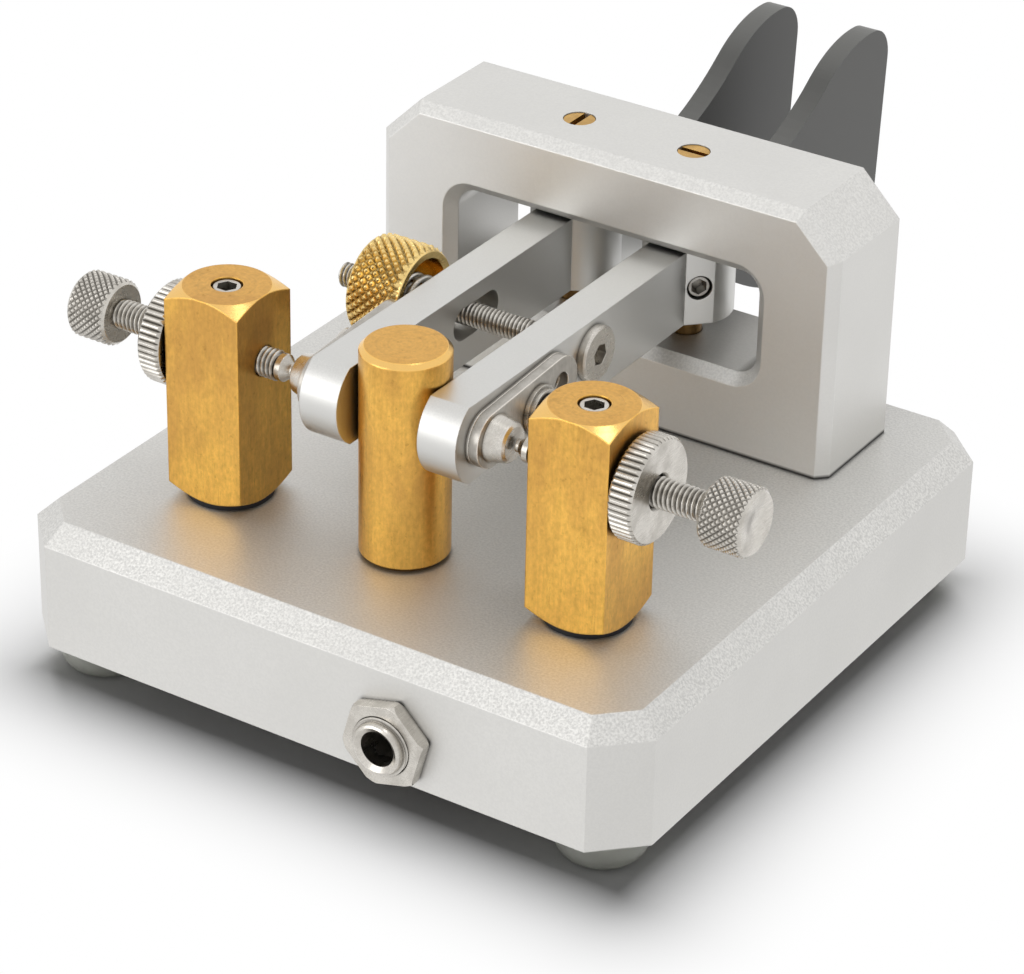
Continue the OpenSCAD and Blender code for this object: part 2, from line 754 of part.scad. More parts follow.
// Side outline of a finger piece: belly, far corners, crown and the hollow of its neck
module paddle_outline() {
    root_angle = -acos((paddle_root - belly_y) / paddle_belly_r);
    lower_angle = atan2(lower_corner_z - belly_z, lower_corner_y - belly_y);
    lean_angle = -atan2(paddle_lean, upper_corner_z - lower_corner_z);
    upper_angle = atan2(upper_corner_z - crown_z, corner_y - crown_y);
    neck_angle = atan2(neck_z - crown_z, neck_y - crown_y);
    root_end = 270 + asin(max(0, paddle_root - neck_y) / paddle_neck_r);
    polygon(concat(
        arc(belly_y, belly_z, paddle_belly_r, root_angle, lower_angle, 24),
        arc(lower_corner_y, lower_corner_z, paddle_corner_r, lower_angle, lean_angle, 10),
        arc(corner_y, upper_corner_z, paddle_corner_r, lean_angle, upper_angle, 10),
        arc(crown_y, crown_z, paddle_crown_r, upper_angle, neck_angle, 20),
        arc(neck_y, neck_z, paddle_neck_r, neck_angle + 180, root_end, 16),
        [[paddle_root, paddle_root_top]]));
}

module paddle(side) {
    color(slate) on_side(side) difference() {
        translate([arm_out, 0, 0]) rotate([90, 0, 90]) linear_extrude(paddle_t) paddle_outline();
        for (step = [-0.5, 0.5])
            along_x(arm_out - over, paddle_screw_y + step * paddle_screw_pitch, lever_mid)
                cylinder(d = paddle_screw_d + 2 * fit, h = paddle_t + 2 * over);
    }
}

module left_paddle() { paddle(-1); }

module right_paddle() { paddle(1); }

module paddle_screws(side) {
    color(steel) on_side(side) for (step = [-0.5, 0.5])
        along_x(paddle_out, paddle_screw_y + step * paddle_screw_pitch, lever_mid) mirror([0, 0, 1])
            round_head_bolt(paddle_screw_d, paddle_t + arm_t, paddle_screw_head_d, screw_head_t);
}

module left_paddle_screws() { paddle_screws(-1); }

module right_paddle_screws() { paddle_screws(1); }

// Rounded strip with the holes of a contact plate, from X 0, tilted about the stud
module plate_strip(thick) {
    r = plate_w / 2;
    near = r - stud_in;
    far = plate_l - stud_in - r;
    difference() {
        translate([0, stud_y, contact_z]) rotate([plate_tilt, 0, 0]) difference() {
            rotate([90, 0, 90]) linear_extrude(thick) {
                translate([near, -r]) square([far - near, plate_w]);
                for (end = [near, far]) translate([end, 0]) circle(r = r);
            }
            along_x(-over, 0, 0) cylinder(d = stud_d / 2 + 2 * fit, h = thick + 2 * over);
            along_x(-over, far, 0) cylinder(d = plate_hole_d, h = thick + 2 * over);
        }
        along_x(-over, plate_screw_y, lever_mid) cylinder(d = plate_screw_d + 2 * fit, h = thick + 2 * over);
    }
}

module plate_spacer(side) {
    color(bright) on_side(side) translate([lever_out, 0, 0]) plate_strip(spacer_t);
}

module left_plate_spacer() { plate_spacer(-1); }

module right_plate_spacer() { plate_spacer(1); }

module contact_plate(side) {
    color(bright) on_side(side) translate([lever_out + spacer_t, 0, 0]) plate_strip(plate_t);
}

module left_contact_plate() { contact_plate(-1); }

module right_contact_plate() { contact_plate(1); }

module contact_stud(side) {
    edge = 0.25;
    shank = plate_out - lever_in;
    color(steel) on_side(side) along_x(plate_out, stud_y, contact_z) rotate_extrude()
        polygon([[0, -shank], [stud_d / 4, -shank], [stud_d / 4, 0], [stud_d / 2, 0],
            [stud_end_d / 2, stud_l - edge], [stud_end_d / 2 - edge, stud_l], [0, stud_l]]);
}

module left_contact_stud() { contact_stud(-1); }

module right_contact_stud() { contact_stud(1); }

module plate_screw(side) {
    washers = 2 * plate_washer_t;
    step = 0.6;
    color(steel) on_side(side) along_x(plate_out, plate_screw_y, lever_mid) {
        for (layer = [0, 1]) translate([0, 0, layer * plate_washer_t])
            cylinder(d = plate_washer_d - layer * step, h = plate_washer_t);
        translate([0, 0, washers]) mirror([0, 0, 1])
            round_head_bolt(plate_screw_d, washers + plate_out - lever_in, plate_screw_head_d, screw_head_t);
    }
}

module left_plate_screw() { plate_screw(-1); }

module right_plate_screw() { plate_screw(1); }

module contact_post(side) {
    r = post_w / 2;
    corner = r * sqrt(2);
    drop = (corner - r) * tan(post_end_angle);
    color(brass) on_side(side) translate([post_x, stud_y, 0]) difference() {
        intersection() {
            translate([-r, -r, post_z]) cube([post_w, post_w, post_h]);
            translate([0, 0, post_z]) rotate_extrude()
                polygon([[0, 0], [r, 0], [corner + over, drop + over * tan(post_end_angle)],
                    [corner + over, post_h - drop - over * tan(post_end_angle)], [r, post_h], [0, post_h]]);
        }
        along_x(-post_w, 0, contact_z) cylinder(d = contact_d + 2 * fit, h = 2 * post_w);
        translate([0, 0, contact_z]) cylinder(d = lock_screw_d + 2 * fit, h = post_over + over);
        translate([0, 0, post_z - over])
            cylinder(d = post_bolt_d + 2 * fit, h = post_bolt_grip + over + head_room);
    }
}

module left_contact_post() { contact_post(-1); }

module right_contact_post() { contact_post(1); }

module post_washers() {
    color(black) both_sides() translate([post_x, stud_y, top_z]) difference() {
        cylinder(d = post_w, h = post_washer_t);
        translate([0, 0, -over]) cylinder(d = post_bolt_d + 2 * fit, h = post_washer_t + 2 * over);
    }
}

module post_bushes() {
    color(black) both_sides() translate([post_x, stud_y, roof_z]) difference() {
        union() {
            cylinder(d = bush_d, h = top_z - roof_z);
            translate([0, 0, -bush_flange_t]) cylinder(d = bush_flange_d, h = bush_flange_t);
        }
        translate([0, 0, -bush_flange_t - over])
            cylinder(d = post_bolt_d + 2 * fit, h = base_h + bush_flange_t + 2 * over);
    }
}

module post_bolts() {
    z = roof_z - bush_flange_t - lug_t;
    color(steel) both_sides() translate([post_x, stud_y, z])
        round_head_bolt(post_bolt_d, post_z + post_bolt_grip - z, post_bolt_head_d, bolt_head_t);
}

// Ring with a tail for a wire, from Z 0 down, its tail towards +X
module solder_lug() {
    difference() {
        translate([0, 0, -lug_t]) linear_extrude(lug_t) {
            circle(d = post_bolt_d * 2);
            translate([0, -lug_w / 2]) square([lug_reach, lug_w]);
        }
        translate([0, 0, -lug_t - over]) cylinder(d = post_bolt_d + 2 * fit, h = lug_t + 2 * over);
    }
}

module solder_lugs() {
    z = roof_z - bush_flange_t;
    color(brass) {
        translate([-post_x, stud_y, z]) solder_lug();
        translate([post_x, stud_y, z]) rotate([0, 0, 180]) solder_lug();
        translate([0, stud_y, roof_z]) solder_lug();
    }
}

module post_lock_screws() {
    sink = 0.15;
    color(steel) both_sides() translate([post_x, stud_y, contact_z + post_over - sink])
        set_screw(lock_screw_d, post_over - sink - contact_d / 2 - 2 * fit);
}

module centre_post() {
    h = lever_top + centre_over - top_z;
    color(brass) translate([0, stud_y, top_z]) difference() {
        chamfered_disc(lever_in - stop_gap, h, centre_edge);
        translate([0, 0, -over]) cylinder(d = post_bolt_d + 2 * fit, h = post_bolt_grip + over + head_room);
    }
}

module centre_post_bolt() {
    z = roof_z - lug_t;
    color(steel) translate([0, stud_y, z])
        round_head_bolt(post_bolt_d, top_z + post_bolt_grip - z, post_bolt_head_d, bolt_head_t);
}

// Contact screw with its knurled head and the bore for the pin of its tip
module contact_screw(side) {
    start = tip_x + nib_l + tip_l;
    color(steel) on_side(side) difference() {
        union() {
            along_x(start, stud_y, contact_z) cylinder(d = contact_d, h = contact_head_x - start + over);
            along_x(contact_head_x, stud_y, contact_z) chamfered_disc(head_d / 2, head_l, knurl_edge);
        }
        along_x(start - over, stud_y, contact_z)
            cylinder(d = tip_d / 2 + 2 * fit, h = tip_l + over + head_room);
    }
}

module left_contact_screw() { contact_screw(-1); }

module right_contact_screw() { contact_screw(1); }

// Silver tip with its nib and the pin that sits in the contact screw
module contact_tip(side) {
    nose_l = tip_l * 0.55;
    color(bright) on_side(side) along_x(tip_x, stud_y, contact_z) rotate_extrude()
        polygon([[0, 0], [nib_d / 2, 0], [nib_d / 2, nib_l], [tip_d / 2, nib_l + nose_l],
            [tip_d / 2, nib_l + tip_l - fit], [tip_d / 4, nib_l + tip_l - fit],
            [tip_d / 4, nib_l + 2 * tip_l], [0, nib_l + 2 * tip_l]]);
}

module left_contact_tip() { contact_tip(-1); }

module right_contact_tip() { contact_tip(1); }

module locknut(side) {
    color(steel) on_side(side) along_x(post_out + nut_gap, stud_y, contact_z) difference() {
        chamfered_disc(nut_d / 2, nut_t, nut_edge);
        translate([0, 0, -over]) cylinder(d = contact_d + 2 * fit, h = nut_t + 2 * over);
    }
}

module left_locknut() { locknut(-1); }

module right_locknut() { locknut(1); }

module tension_rod() {
    color(steel) difference() {
        union() {
            along_x(-rod_end, rod_y, rod_z) cylinder(d = rod_d, h = rod_end + lever_out + rod_head_t / 2);
            along_x(lever_out, rod_y, rod_z) chamfered_disc(rod_head_d / 2, rod_head_t, small_edge);
        }
        along_x(lever_out + rod_head_t, rod_y, rod_z) hex_socket(rod_d * key_share, rod_d * key_share);
    }
}

module tension_knob() {
    color(gold) on_side(-1) along_x(knob_x, rod_y, rod_z) difference() {
        chamfered_disc(knob_d / 2, knob_l, knurl_edge);
        translate([0, 0, -over]) cylinder(d = cup_d, h = cup_deep + over);
        cylinder(d = rod_d + 2 * fit, h = knob_l + over);
    }
}

// Centre line of the spring: a straight end, the curls and a straight end, along -X from the lever
ring_steps = 8;
coil_steps = ceil(spring_turns * ring_steps);
function coil_point(step) =
    let (turn = 360 * spring_turns * step / coil_steps)
    [-lever_out - spring_gap - wire_d - coil_l * step / coil_steps,
        rod_y + spring_r * cos(turn), rod_z + spring_r * sin(turn)];
spring_path = concat([coil_point(0) + [wire_d, 0, 0]], [for (step = [0:coil_steps]) coil_point(step)],
    [coil_point(coil_steps) - [wire_d, 0, 0]]);

// Least gap between one curl of the spring and the next, measured on the points of its centre line
spring_own_gap = min([for (a = [0:coil_steps], b = [0:coil_steps])
    if (b - a >= ring_steps / 2) norm(coil_point(a) - coil_point(b))]) - wire_d;
echo(spring_own_gap = spring_own_gap);

function unit(v) = v / norm(v);
function path_way(path, i) = unit(path[min(i + 1, len(path) - 1)] - path[max(i - 1, 0)]);
function path_side(path, i, first) =
    i == 0 ? unit(first - (first * path_way(path, 0)) * path_way(path, 0)) :
    let (last = path_side(path, i - 1, first), way = path_way(path, i)) unit(last - (last * way) * way);

// Round tube of triangles along a path; first is a direction across its start
module tube(path, d, sides, first) {
    count = len(path);
    points = [for (i = [0:count - 1])
        let (way = path_way(path, i), side = path_side(path, i, first), up = cross(way, side))
        for (k = [0:sides - 1]) path[i] + d / 2 * (cos(360 * k / sides) * side + sin(360 * k / sides) * up)];
    walls = [for (i = [0:count - 2], k = [0:sides - 1])
        let (a = i * sides + k, b = i * sides + (k + 1) % sides)
        each [[a, a + sides, b], [b, a + sides, b + sides]]];
    caps = [for (k = [1:sides - 2]) each [[0, k, k + 1],
        [(count - 1) * sides, (count - 1) * sides + k + 1, (count - 1) * sides + k]]];
    polyhedron(points, concat(walls, caps));
}

module tension_spring() {
    color(steel) tube(spring_path, wire_d, 6, [0, 1, 0]);
}

module socket_bushing() {
    color(steel) along_front(socket_x, socket_y + flange_t, socket_up) difference() {
        union() {
            chamfered_disc(bushing_d / 2, flange_t + front_wall + bushing_out, nut_edge);
            cylinder(d = socket_h, h = flange_t);
        }
        translate([0, 0, -over]) cylinder(d = socket_d, h = flange_t + front_wall + bushing_out + 2 * over);
    }
}

module socket_nut() {
    color(steel) along_front(socket_x, front_y, socket_up) difference() {
        intersection() {
            rotate([0, 0, hex_turn]) cylinder(d = hex_w / cos(30), h = hex_t, $fn = 6);
            chamfered_disc(hex_w / 2 / cos(30), hex_t, nut_edge);
        }
        translate([0, 0, -over]) cylinder(d = bushing_d + 2 * fit, h = hex_t + 2 * over);
    }
}

module socket_body() {
    rear_wall = 1.4;
    color(black) difference() {
        translate([socket_x - socket_w / 2, socket_y + flange_t, socket_up - socket_h / 2])
            cube([socket_w, socket_l, socket_h]);
        along_front(socket_x, socket_rear - rear_wall, socket_up)
            cylinder(d = socket_d, h = socket_l);
    }
}

// Three lugs on the rear of the socket body
function lug_place(i) = [socket_x + (i - 1) * socket_w * 0.36, socket_rear, socket_up + 1];
module socket_lugs() {
    wide = 1.4;
    color(brass) for (i = [0:2])
        translate(lug_place(i) - [wide / 2, 0, lug_t]) cube([wide, lug_l, lug_t]);
}

// Route of a wire from under a socket lug down to its lane, along it and up under a solder lug
function wire_route(start, finish, lift) =
    let (low = base_z + cover_t + lead_d / 2 + head_room,
        a = start + [0, lug_l - lead_d, -lug_t - lead_d / 2],
        b = finish + [0, 0, -lug_t - lead_d / 2])
    [a, a + [0, lead_d, 0], [a.x, a.y + 2 * lead_d, low], [a.x, wire_lane, low + lift],
        [b.x, wire_lane, low + lift], [b.x, b.y + lead_d / 2, low + lift + lead_d / 2], b];
post_lug_z = roof_z - bush_flange_t;

module left_wire() {
    finish = [-post_x + lug_hold, stud_y, post_lug_z];
    color("firebrick") tube(wire_route(lug_place(0), finish, 0), lead_d, 8, [1, 0, 0]);
}

module right_wire() {
    finish = [post_x - lug_hold, stud_y, post_lug_z];
    color("royalblue") tube(wire_route(lug_place(2), finish, 0), lead_d, 8, [1, 0, 0]);
}

module ground_wire() {
    finish = [lug_hold, stud_y, roof_z];
    cross_over = 1.3 * lead_d;
    color(copper) tube(wire_route(lug_place(1), finish, cross_over), lead_d, 8, [1, 0, 0]);
}

base_plate();
rubber_feet();
underside_cover();
cover_screws();
pivot_frame();
frame_bolts();
upper_pivot_screws();
lower_pivot_screws();
left_lever();
right_lever();
left_pivot_shaft();
right_pivot_shaft();
left_hub_screw();
right_hub_screw();
left_paddle();
right_paddle();
left_paddle_screws();
right_paddle_screws();
left_plate_spacer();
right_plate_spacer();
left_contact_plate();
right_contact_plate();
left_contact_stud();
right_contact_stud();
left_plate_screw();
right_plate_screw();
left_contact_post();
right_contact_post();
post_washers();
post_bushes();
post_bolts();
solder_lugs();
post_lock_screws();
centre_post();
centre_post_bolt();
left_contact_screw();
right_contact_screw();
left_contact_tip();
right_contact_tip();
left_locknut();
right_locknut();
tension_rod();
tension_knob();
tension_spring();
socket_bushing();
socket_nut();
socket_body();
socket_lugs();
left_wire();
right_wire();
ground_wire();
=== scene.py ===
"""A twin-lever telegraph key, dressed for one studio photograph.

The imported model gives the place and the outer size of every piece. Threads, knurls and the spring are built
here in mesh code. Every piece gets a finish: blasted aluminium, drawn brass, plated metal, moulded plastic,
rubber or wire insulation.
"""

from __future__ import annotations

import logging
import math
from abc import ABC, abstractmethod
from dataclasses import dataclass, field, replace
from enum import Enum
from typing import Callable, Mapping, NamedTuple, Sequence, Union

import bmesh
import bpy
from mathutils import Matrix, Vector

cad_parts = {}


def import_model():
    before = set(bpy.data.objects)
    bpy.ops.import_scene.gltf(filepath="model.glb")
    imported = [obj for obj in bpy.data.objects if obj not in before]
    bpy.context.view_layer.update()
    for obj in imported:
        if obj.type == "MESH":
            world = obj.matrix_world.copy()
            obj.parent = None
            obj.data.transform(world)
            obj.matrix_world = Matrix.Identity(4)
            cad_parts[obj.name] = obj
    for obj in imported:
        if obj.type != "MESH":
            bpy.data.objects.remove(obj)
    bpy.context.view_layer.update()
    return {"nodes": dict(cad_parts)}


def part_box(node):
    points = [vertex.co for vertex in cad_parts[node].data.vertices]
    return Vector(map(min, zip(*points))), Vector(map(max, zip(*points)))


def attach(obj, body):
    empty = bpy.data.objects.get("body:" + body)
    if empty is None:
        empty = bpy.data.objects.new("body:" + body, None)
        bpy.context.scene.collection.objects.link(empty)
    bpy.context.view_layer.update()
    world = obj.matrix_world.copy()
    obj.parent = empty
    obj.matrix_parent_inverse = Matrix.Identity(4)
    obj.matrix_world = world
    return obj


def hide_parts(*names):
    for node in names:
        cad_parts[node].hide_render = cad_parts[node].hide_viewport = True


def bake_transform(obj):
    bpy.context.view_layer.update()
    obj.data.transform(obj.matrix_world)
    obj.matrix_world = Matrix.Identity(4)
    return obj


log = logging.getLogger("telegraph_key")

TAU = 2 * math.pi
SHARP_ANGLE = math.radians(32)
STEPS_PER_TOOTH = 8
GROOVE = "groove"

Colour = tuple[float, float, float]
Point = tuple[float, float, float]

WHITE: Colour = (1.0, 1.0, 1.0)
UP: Point = (0.0, 0.0, 1.0)


class Side(Enum):
    """The two sides of the key, seen from the socket."""

    LEFT = -1
    RIGHT = 1

    @property
    def word(self) -> str:
        """The side's word in the names of nodes and bodies."""
        return self.name.lower()


# Shader graphs


@dataclass(frozen=True)
class Signal:
    """One output socket of a shader node, with arithmetic that adds Math nodes."""

    graph: Graph
    socket: bpy.types.NodeSocket

    def __add__(self, other: Value) -> Signal:
        """Add a number or a signal."""
        return self.graph.math("ADD", self, other)

    def __sub__(self, other: Value) -> Signal:
        """Take away a number or a signal."""
        return self.graph.math("SUBTRACT", self, other)

    def __rsub__(self, other: Value) -> Signal:
        """Take this signal away from a number."""
        return self.graph.math("SUBTRACT", other, self)

    def __mul__(self, other: Value) -> Signal:
        """Multiply by a number or a signal."""
        return self.graph.math("MULTIPLY", self, other)

    __radd__ = __add__
    __rmul__ = __mul__


Value = Union[float, Signal]
Setting = Union[str, int]
Socket = Union[float, Sequence[float], Signal]


def rgba(colour: Colour) -> tuple[float, float, float, float]:
    """The colour with full opacity, as a colour socket takes it."""
    return (*colour, 1.0)


class Graph:
    """The node tree of one material or of the world."""

    MIX_A = 6
    MIX_B = 7
    MIX_RESULT = 2
    BEVEL_SAMPLES = 6
    SHELTER_SAMPLES = 8
    FLAT_COSINE = 0.995
    EDGE_COSINE = 0.86
    OPEN_SHARE = 0.85
    HIDDEN_SHARE = 0.4

    def __init__(self, tree: bpy.types.NodeTree) -> None:
        """Start from an empty tree."""
        self.tree = tree
        tree.nodes.clear()

    def node(
        self, kind: str, sockets: Mapping[str | int, Socket] | None = None, **settings: Setting
    ) -> bpy.types.Node:
        """Add one node.

        Args:
            kind: The node's type name.
            sockets: Values or signals for the inputs, by name or by number.
            **settings: Properties that are set before the sockets.

        Returns:
            The new node.
        """
        node = self.tree.nodes.new(kind)
        for name, setting in settings.items():
            setattr(node, name, setting)
        for key, value in (sockets or {}).items():
            if isinstance(value, Signal):
                self.tree.links.new(value.socket, node.inputs[key])
            else:
                node.inputs[key].default_value = value
        return node

    def out(self, node: bpy.types.Node, key: str | int = 0) -> Signal:
        """One output of a node."""
        return Signal(self, node.outputs[key])

    def math(self, operation: str, first: Value, second: Value) -> Signal:
        """Add one Math node."""
        return self.out(self.node("ShaderNodeMath", {0: first, 1: second}, operation=operation))

    def vector(self, operation: str, *vectors: Socket, output: str = "Vector") -> Signal:
        """Add one Vector Math node that takes one or two vectors."""
        node = self.node("ShaderNodeVectorMath", dict(enumerate(vectors)), operation=operation)
        return self.out(node, output)

    def position(self) -> Signal:
        """The place on the piece, in metres, which moves with the piece."""
        return self.out(self.node("ShaderNodeTexCoord"), "Object")

    def attribute(self, name: str) -> Signal:
        """A value that a mesh holds at each of its points, or 0 where it holds none."""
        return self.out(self.node("ShaderNodeAttribute", attribute_name=name), "Fac")

    def noise(self, at: Signal, size: float, detail: float = 2.0, roughness: float = 0.5) -> Signal:
        """Cloudy noise from 0 to 1, with clouds of that size in metres and finer layers in them."""
        sockets = {"Vector": at, "Scale": 1 / size, "Detail": detail, "Roughness": roughness}
        return self.out(self.node("ShaderNodeTexNoise", sockets), "Fac")

    def stretched(self, at: Signal, stretch: Point) -> Signal:
        """The place with each axis multiplied by a share of its own."""
        return self.vector("MULTIPLY", at, stretch)

    def between(
        self, value: Signal, low: float, high: float, start: float = 0.0, end: float = 1.0
    ) -> Signal:
        """Map a value so that low becomes start and high becomes end, held at both ends."""
        sockets = {"Value": value, "From Min": low, "From Max": high, "To Min": start, "To Max": end}
        return self.out(self.node("ShaderNodeMapRange", sockets, clamp=True), "Result")

    def blend(self, factor: Signal, first: Colour | Signal, second: Colour | Signal) -> Signal:
        """Mix two colours.

        Args:
            factor: 0 gives the first colour and 1 the second.
            first: A colour or a signal.
            second: A colour or a signal.

        Returns:
            The mixed colour.
        """
        pair = [c if isinstance(c, Signal) else rgba(c) for c in (first, second)]
        sockets = {0: factor, self.MIX_A: pair[0], self.MIX_B: pair[1]}
        return self.out(self.node("ShaderNodeMix", sockets, data_type="RGBA"), self.MIX_RESULT)

    def rounded(self, radius: float) -> Signal:
        """A normal that turns smoothly over every edge, as a small round of that radius does."""
        node = self.node("ShaderNodeBevel", {"Radius": radius}, samples=self.BEVEL_SAMPLES)
        return self.out(node, "Normal")

    def face_normal(self) -> Signal:
        """The normal of the surface itself."""
        return self.out(self.node("ShaderNodeNewGeometry"), "Normal")

    def edges(self, rounded: Signal) -> Signal:
        """How near an edge a place is, from 0 on a flat face to 1 on an edge."""
        share = self.vector("DOT_PRODUCT", rounded, self.face_normal(), output="Value")
        return self.between(share, self.FLAT_COSINE, self.EDGE_COSINE)

    def upward(self) -> Signal:
        """How far the surface faces up: 1 on a top, 0 on a wall."""
        return self.vector("DOT_PRODUCT", self.face_normal(), UP, output="Value")

    def crevices(self, reach: float) -> Signal:
        """How hidden a place is by what stands within reach, from 0 in the open to 1 deep in a corner."""
        node = self.node("ShaderNodeAmbientOcclusion", {"Distance": reach}, samples=self.SHELTER_SAMPLES)
        return self.between(self.out(node, "AO"), self.OPEN_SHARE, self.HIDDEN_SHARE)

    def bump(self, height: Signal, distance: float, normal: Signal) -> Signal:
        """The normal, bent to follow a height of which 1 is that distance in metres."""
        sockets = {"Height": height, "Distance": distance, "Normal": normal}
        return self.out(self.node("ShaderNodeBump", sockets), "Normal")

    def mirror_ray(self) -> Signal:
        """1 for a ray that a shiny surface sends out, unless a matt surface gathers its light."""
        rays = self.node("ShaderNodeLightPath")
        return self.out(rays, "Is Glossy Ray") * self.math("LESS_THAN", self.out(rays, "Diffuse Depth"), 0.5)

    def seen_ray(self) -> Signal:
        """1 for a ray that the camera sees straight, through glass or in a shiny surface."""
        rays = self.node("ShaderNodeLightPath")
        direct = self.math("MAXIMUM", self.out(rays, "Is Camera Ray"), self.out(rays, "Is Transmission Ray"))
        return self.math("MAXIMUM", direct, self.mirror_ray())

    def surface(
        self, colour: Signal, rough: Signal, normal: Signal, others: Mapping[str, Socket] | None = None
    ) -> None:
        """End the tree in one Principled shader.

        Args:
            colour: The base colour.
            rough: The roughness.
            normal: The normal.
            others: Values for other sockets, by name.
        """
        sockets = {"Base Color": colour, "Roughness": rough, "Normal": normal, **(others or {})}
        shader = self.out(self.node("ShaderNodeBsdfPrincipled", sockets))
        self.node("ShaderNodeOutputMaterial", {"Surface": shader})


# Finishes

METAL: Mapping[str, float] = {"Metallic": 1.0}


@dataclass(frozen=True)
class Finish(ABC):
    """How one kind of surface looks."""

    name: str
    colour: Colour
    roughness: float
    edge_round: float

    @abstractmethod
    def draw(self, graph: Graph) -> None:
        """Fill a material's graph."""

    def material(self) -> bpy.types.Material:
        """The material of this finish, made once and shared by all its pieces."""
        found = bpy.data.materials.get(self.name)
        if found:
            return found
        material = bpy.data.materials.new(self.name)
        material.use_nodes = True
        material.diffuse_color = rgba(self.colour)
        self.draw(Graph(material.node_tree))
        return material

    def shade(self, share: float) -> Colour:
        """The finish's colour, darker or lighter by a share."""
        red, green, blue = self.colour
        return (red * share, green * share, blue * share)


@dataclass(frozen=True)
class BlastedAluminium(Finish):
    """Aluminium blasted with fine beads and clear anodised, with a soft sparkle partly painted into its
    colour as glints.
    """

    grain: float = 0.00024
    grain_depth: float = 0.00004
    cloud_size: float = 0.014
    wear_size: float = 0.0013
    sparkle: float = 0.14
    wall_sparkle: float = 0.2
    top_sparkle: float = 0.6
    # A seat height paints a shadow band just above it, where the frame sits on the base.
    seat_height: float = 0.0
    seat_gap: float = 0.00045
    seat_shadow: float = 0.92
    crevice: float = 0.0006

    def draw(self, graph: Graph) -> None:
        """Blasted grain with painted glints, slow clouds in the anodising, edges lighter by wear and a
        painted highlight, and painted shade in seams and corners.
        """
        at = graph.position()
        fine = graph.noise(at, self.grain, 2.0, 0.6)
        cloud = graph.noise(at, self.cloud_size, 3.0)
        rounded = graph.rounded(self.edge_round)
        patchy = graph.between(graph.noise(at, self.wear_size), 0.35, 0.6, 0.35, 1.0)
        worn_and_highlit = graph.edges(rounded) * patchy
        # The grain's light and dark specks are partly its own tone and partly painted glint, strongest on
        # sloped faces and weaker on walls and tops.
        up = graph.upward()
        on_wall = graph.between(up, 0.1, 0.6, self.wall_sparkle, 1.0)
        slope = on_wall * graph.between(up, 0.8, 0.95, 1.0, self.top_sparkle)
        grain_and_glint = 0.5 + slope * graph.between(fine, 0.36, 0.64, -0.5, 0.5)
        grey = graph.blend(grain_and_glint, self.shade(1 - self.sparkle), self.shade(1 + self.sparkle))
        clouded = graph.blend(graph.between(cloud, 0.35, 0.65, 0.0, 0.35), grey, self.shade(0.93))
        # Edges painted lighter: partly rubbed wear, partly a painted highlight.
        rubbed_and_highlit = graph.blend(worn_and_highlit * 0.5, clouded, self.shade(1.2))
        # Painted shadow in a band along the frame's foot, and painted shade in corners.
        height = graph.vector("DOT_PRODUCT", at, UP, output="Value") - self.seat_height
        seam = graph.between(height, self.seat_gap / 3, self.seat_gap, self.seat_shadow, 0.0)
        painted_shade = graph.math("MAXIMUM", seam, 0.55 * graph.crevices(self.crevice))
        colour = graph.blend(painted_shade, rubbed_and_highlit, self.shade(0.05))
        rough = self.roughness + 0.10 * (cloud - 0.5) + 0.10 * (fine - 0.5) - 0.08 * worn_and_highlit
        normal = graph.bump(0.5 + slope * (fine - 0.5), self.grain_depth, rounded)
        graph.surface(colour, rough, normal, METAL)


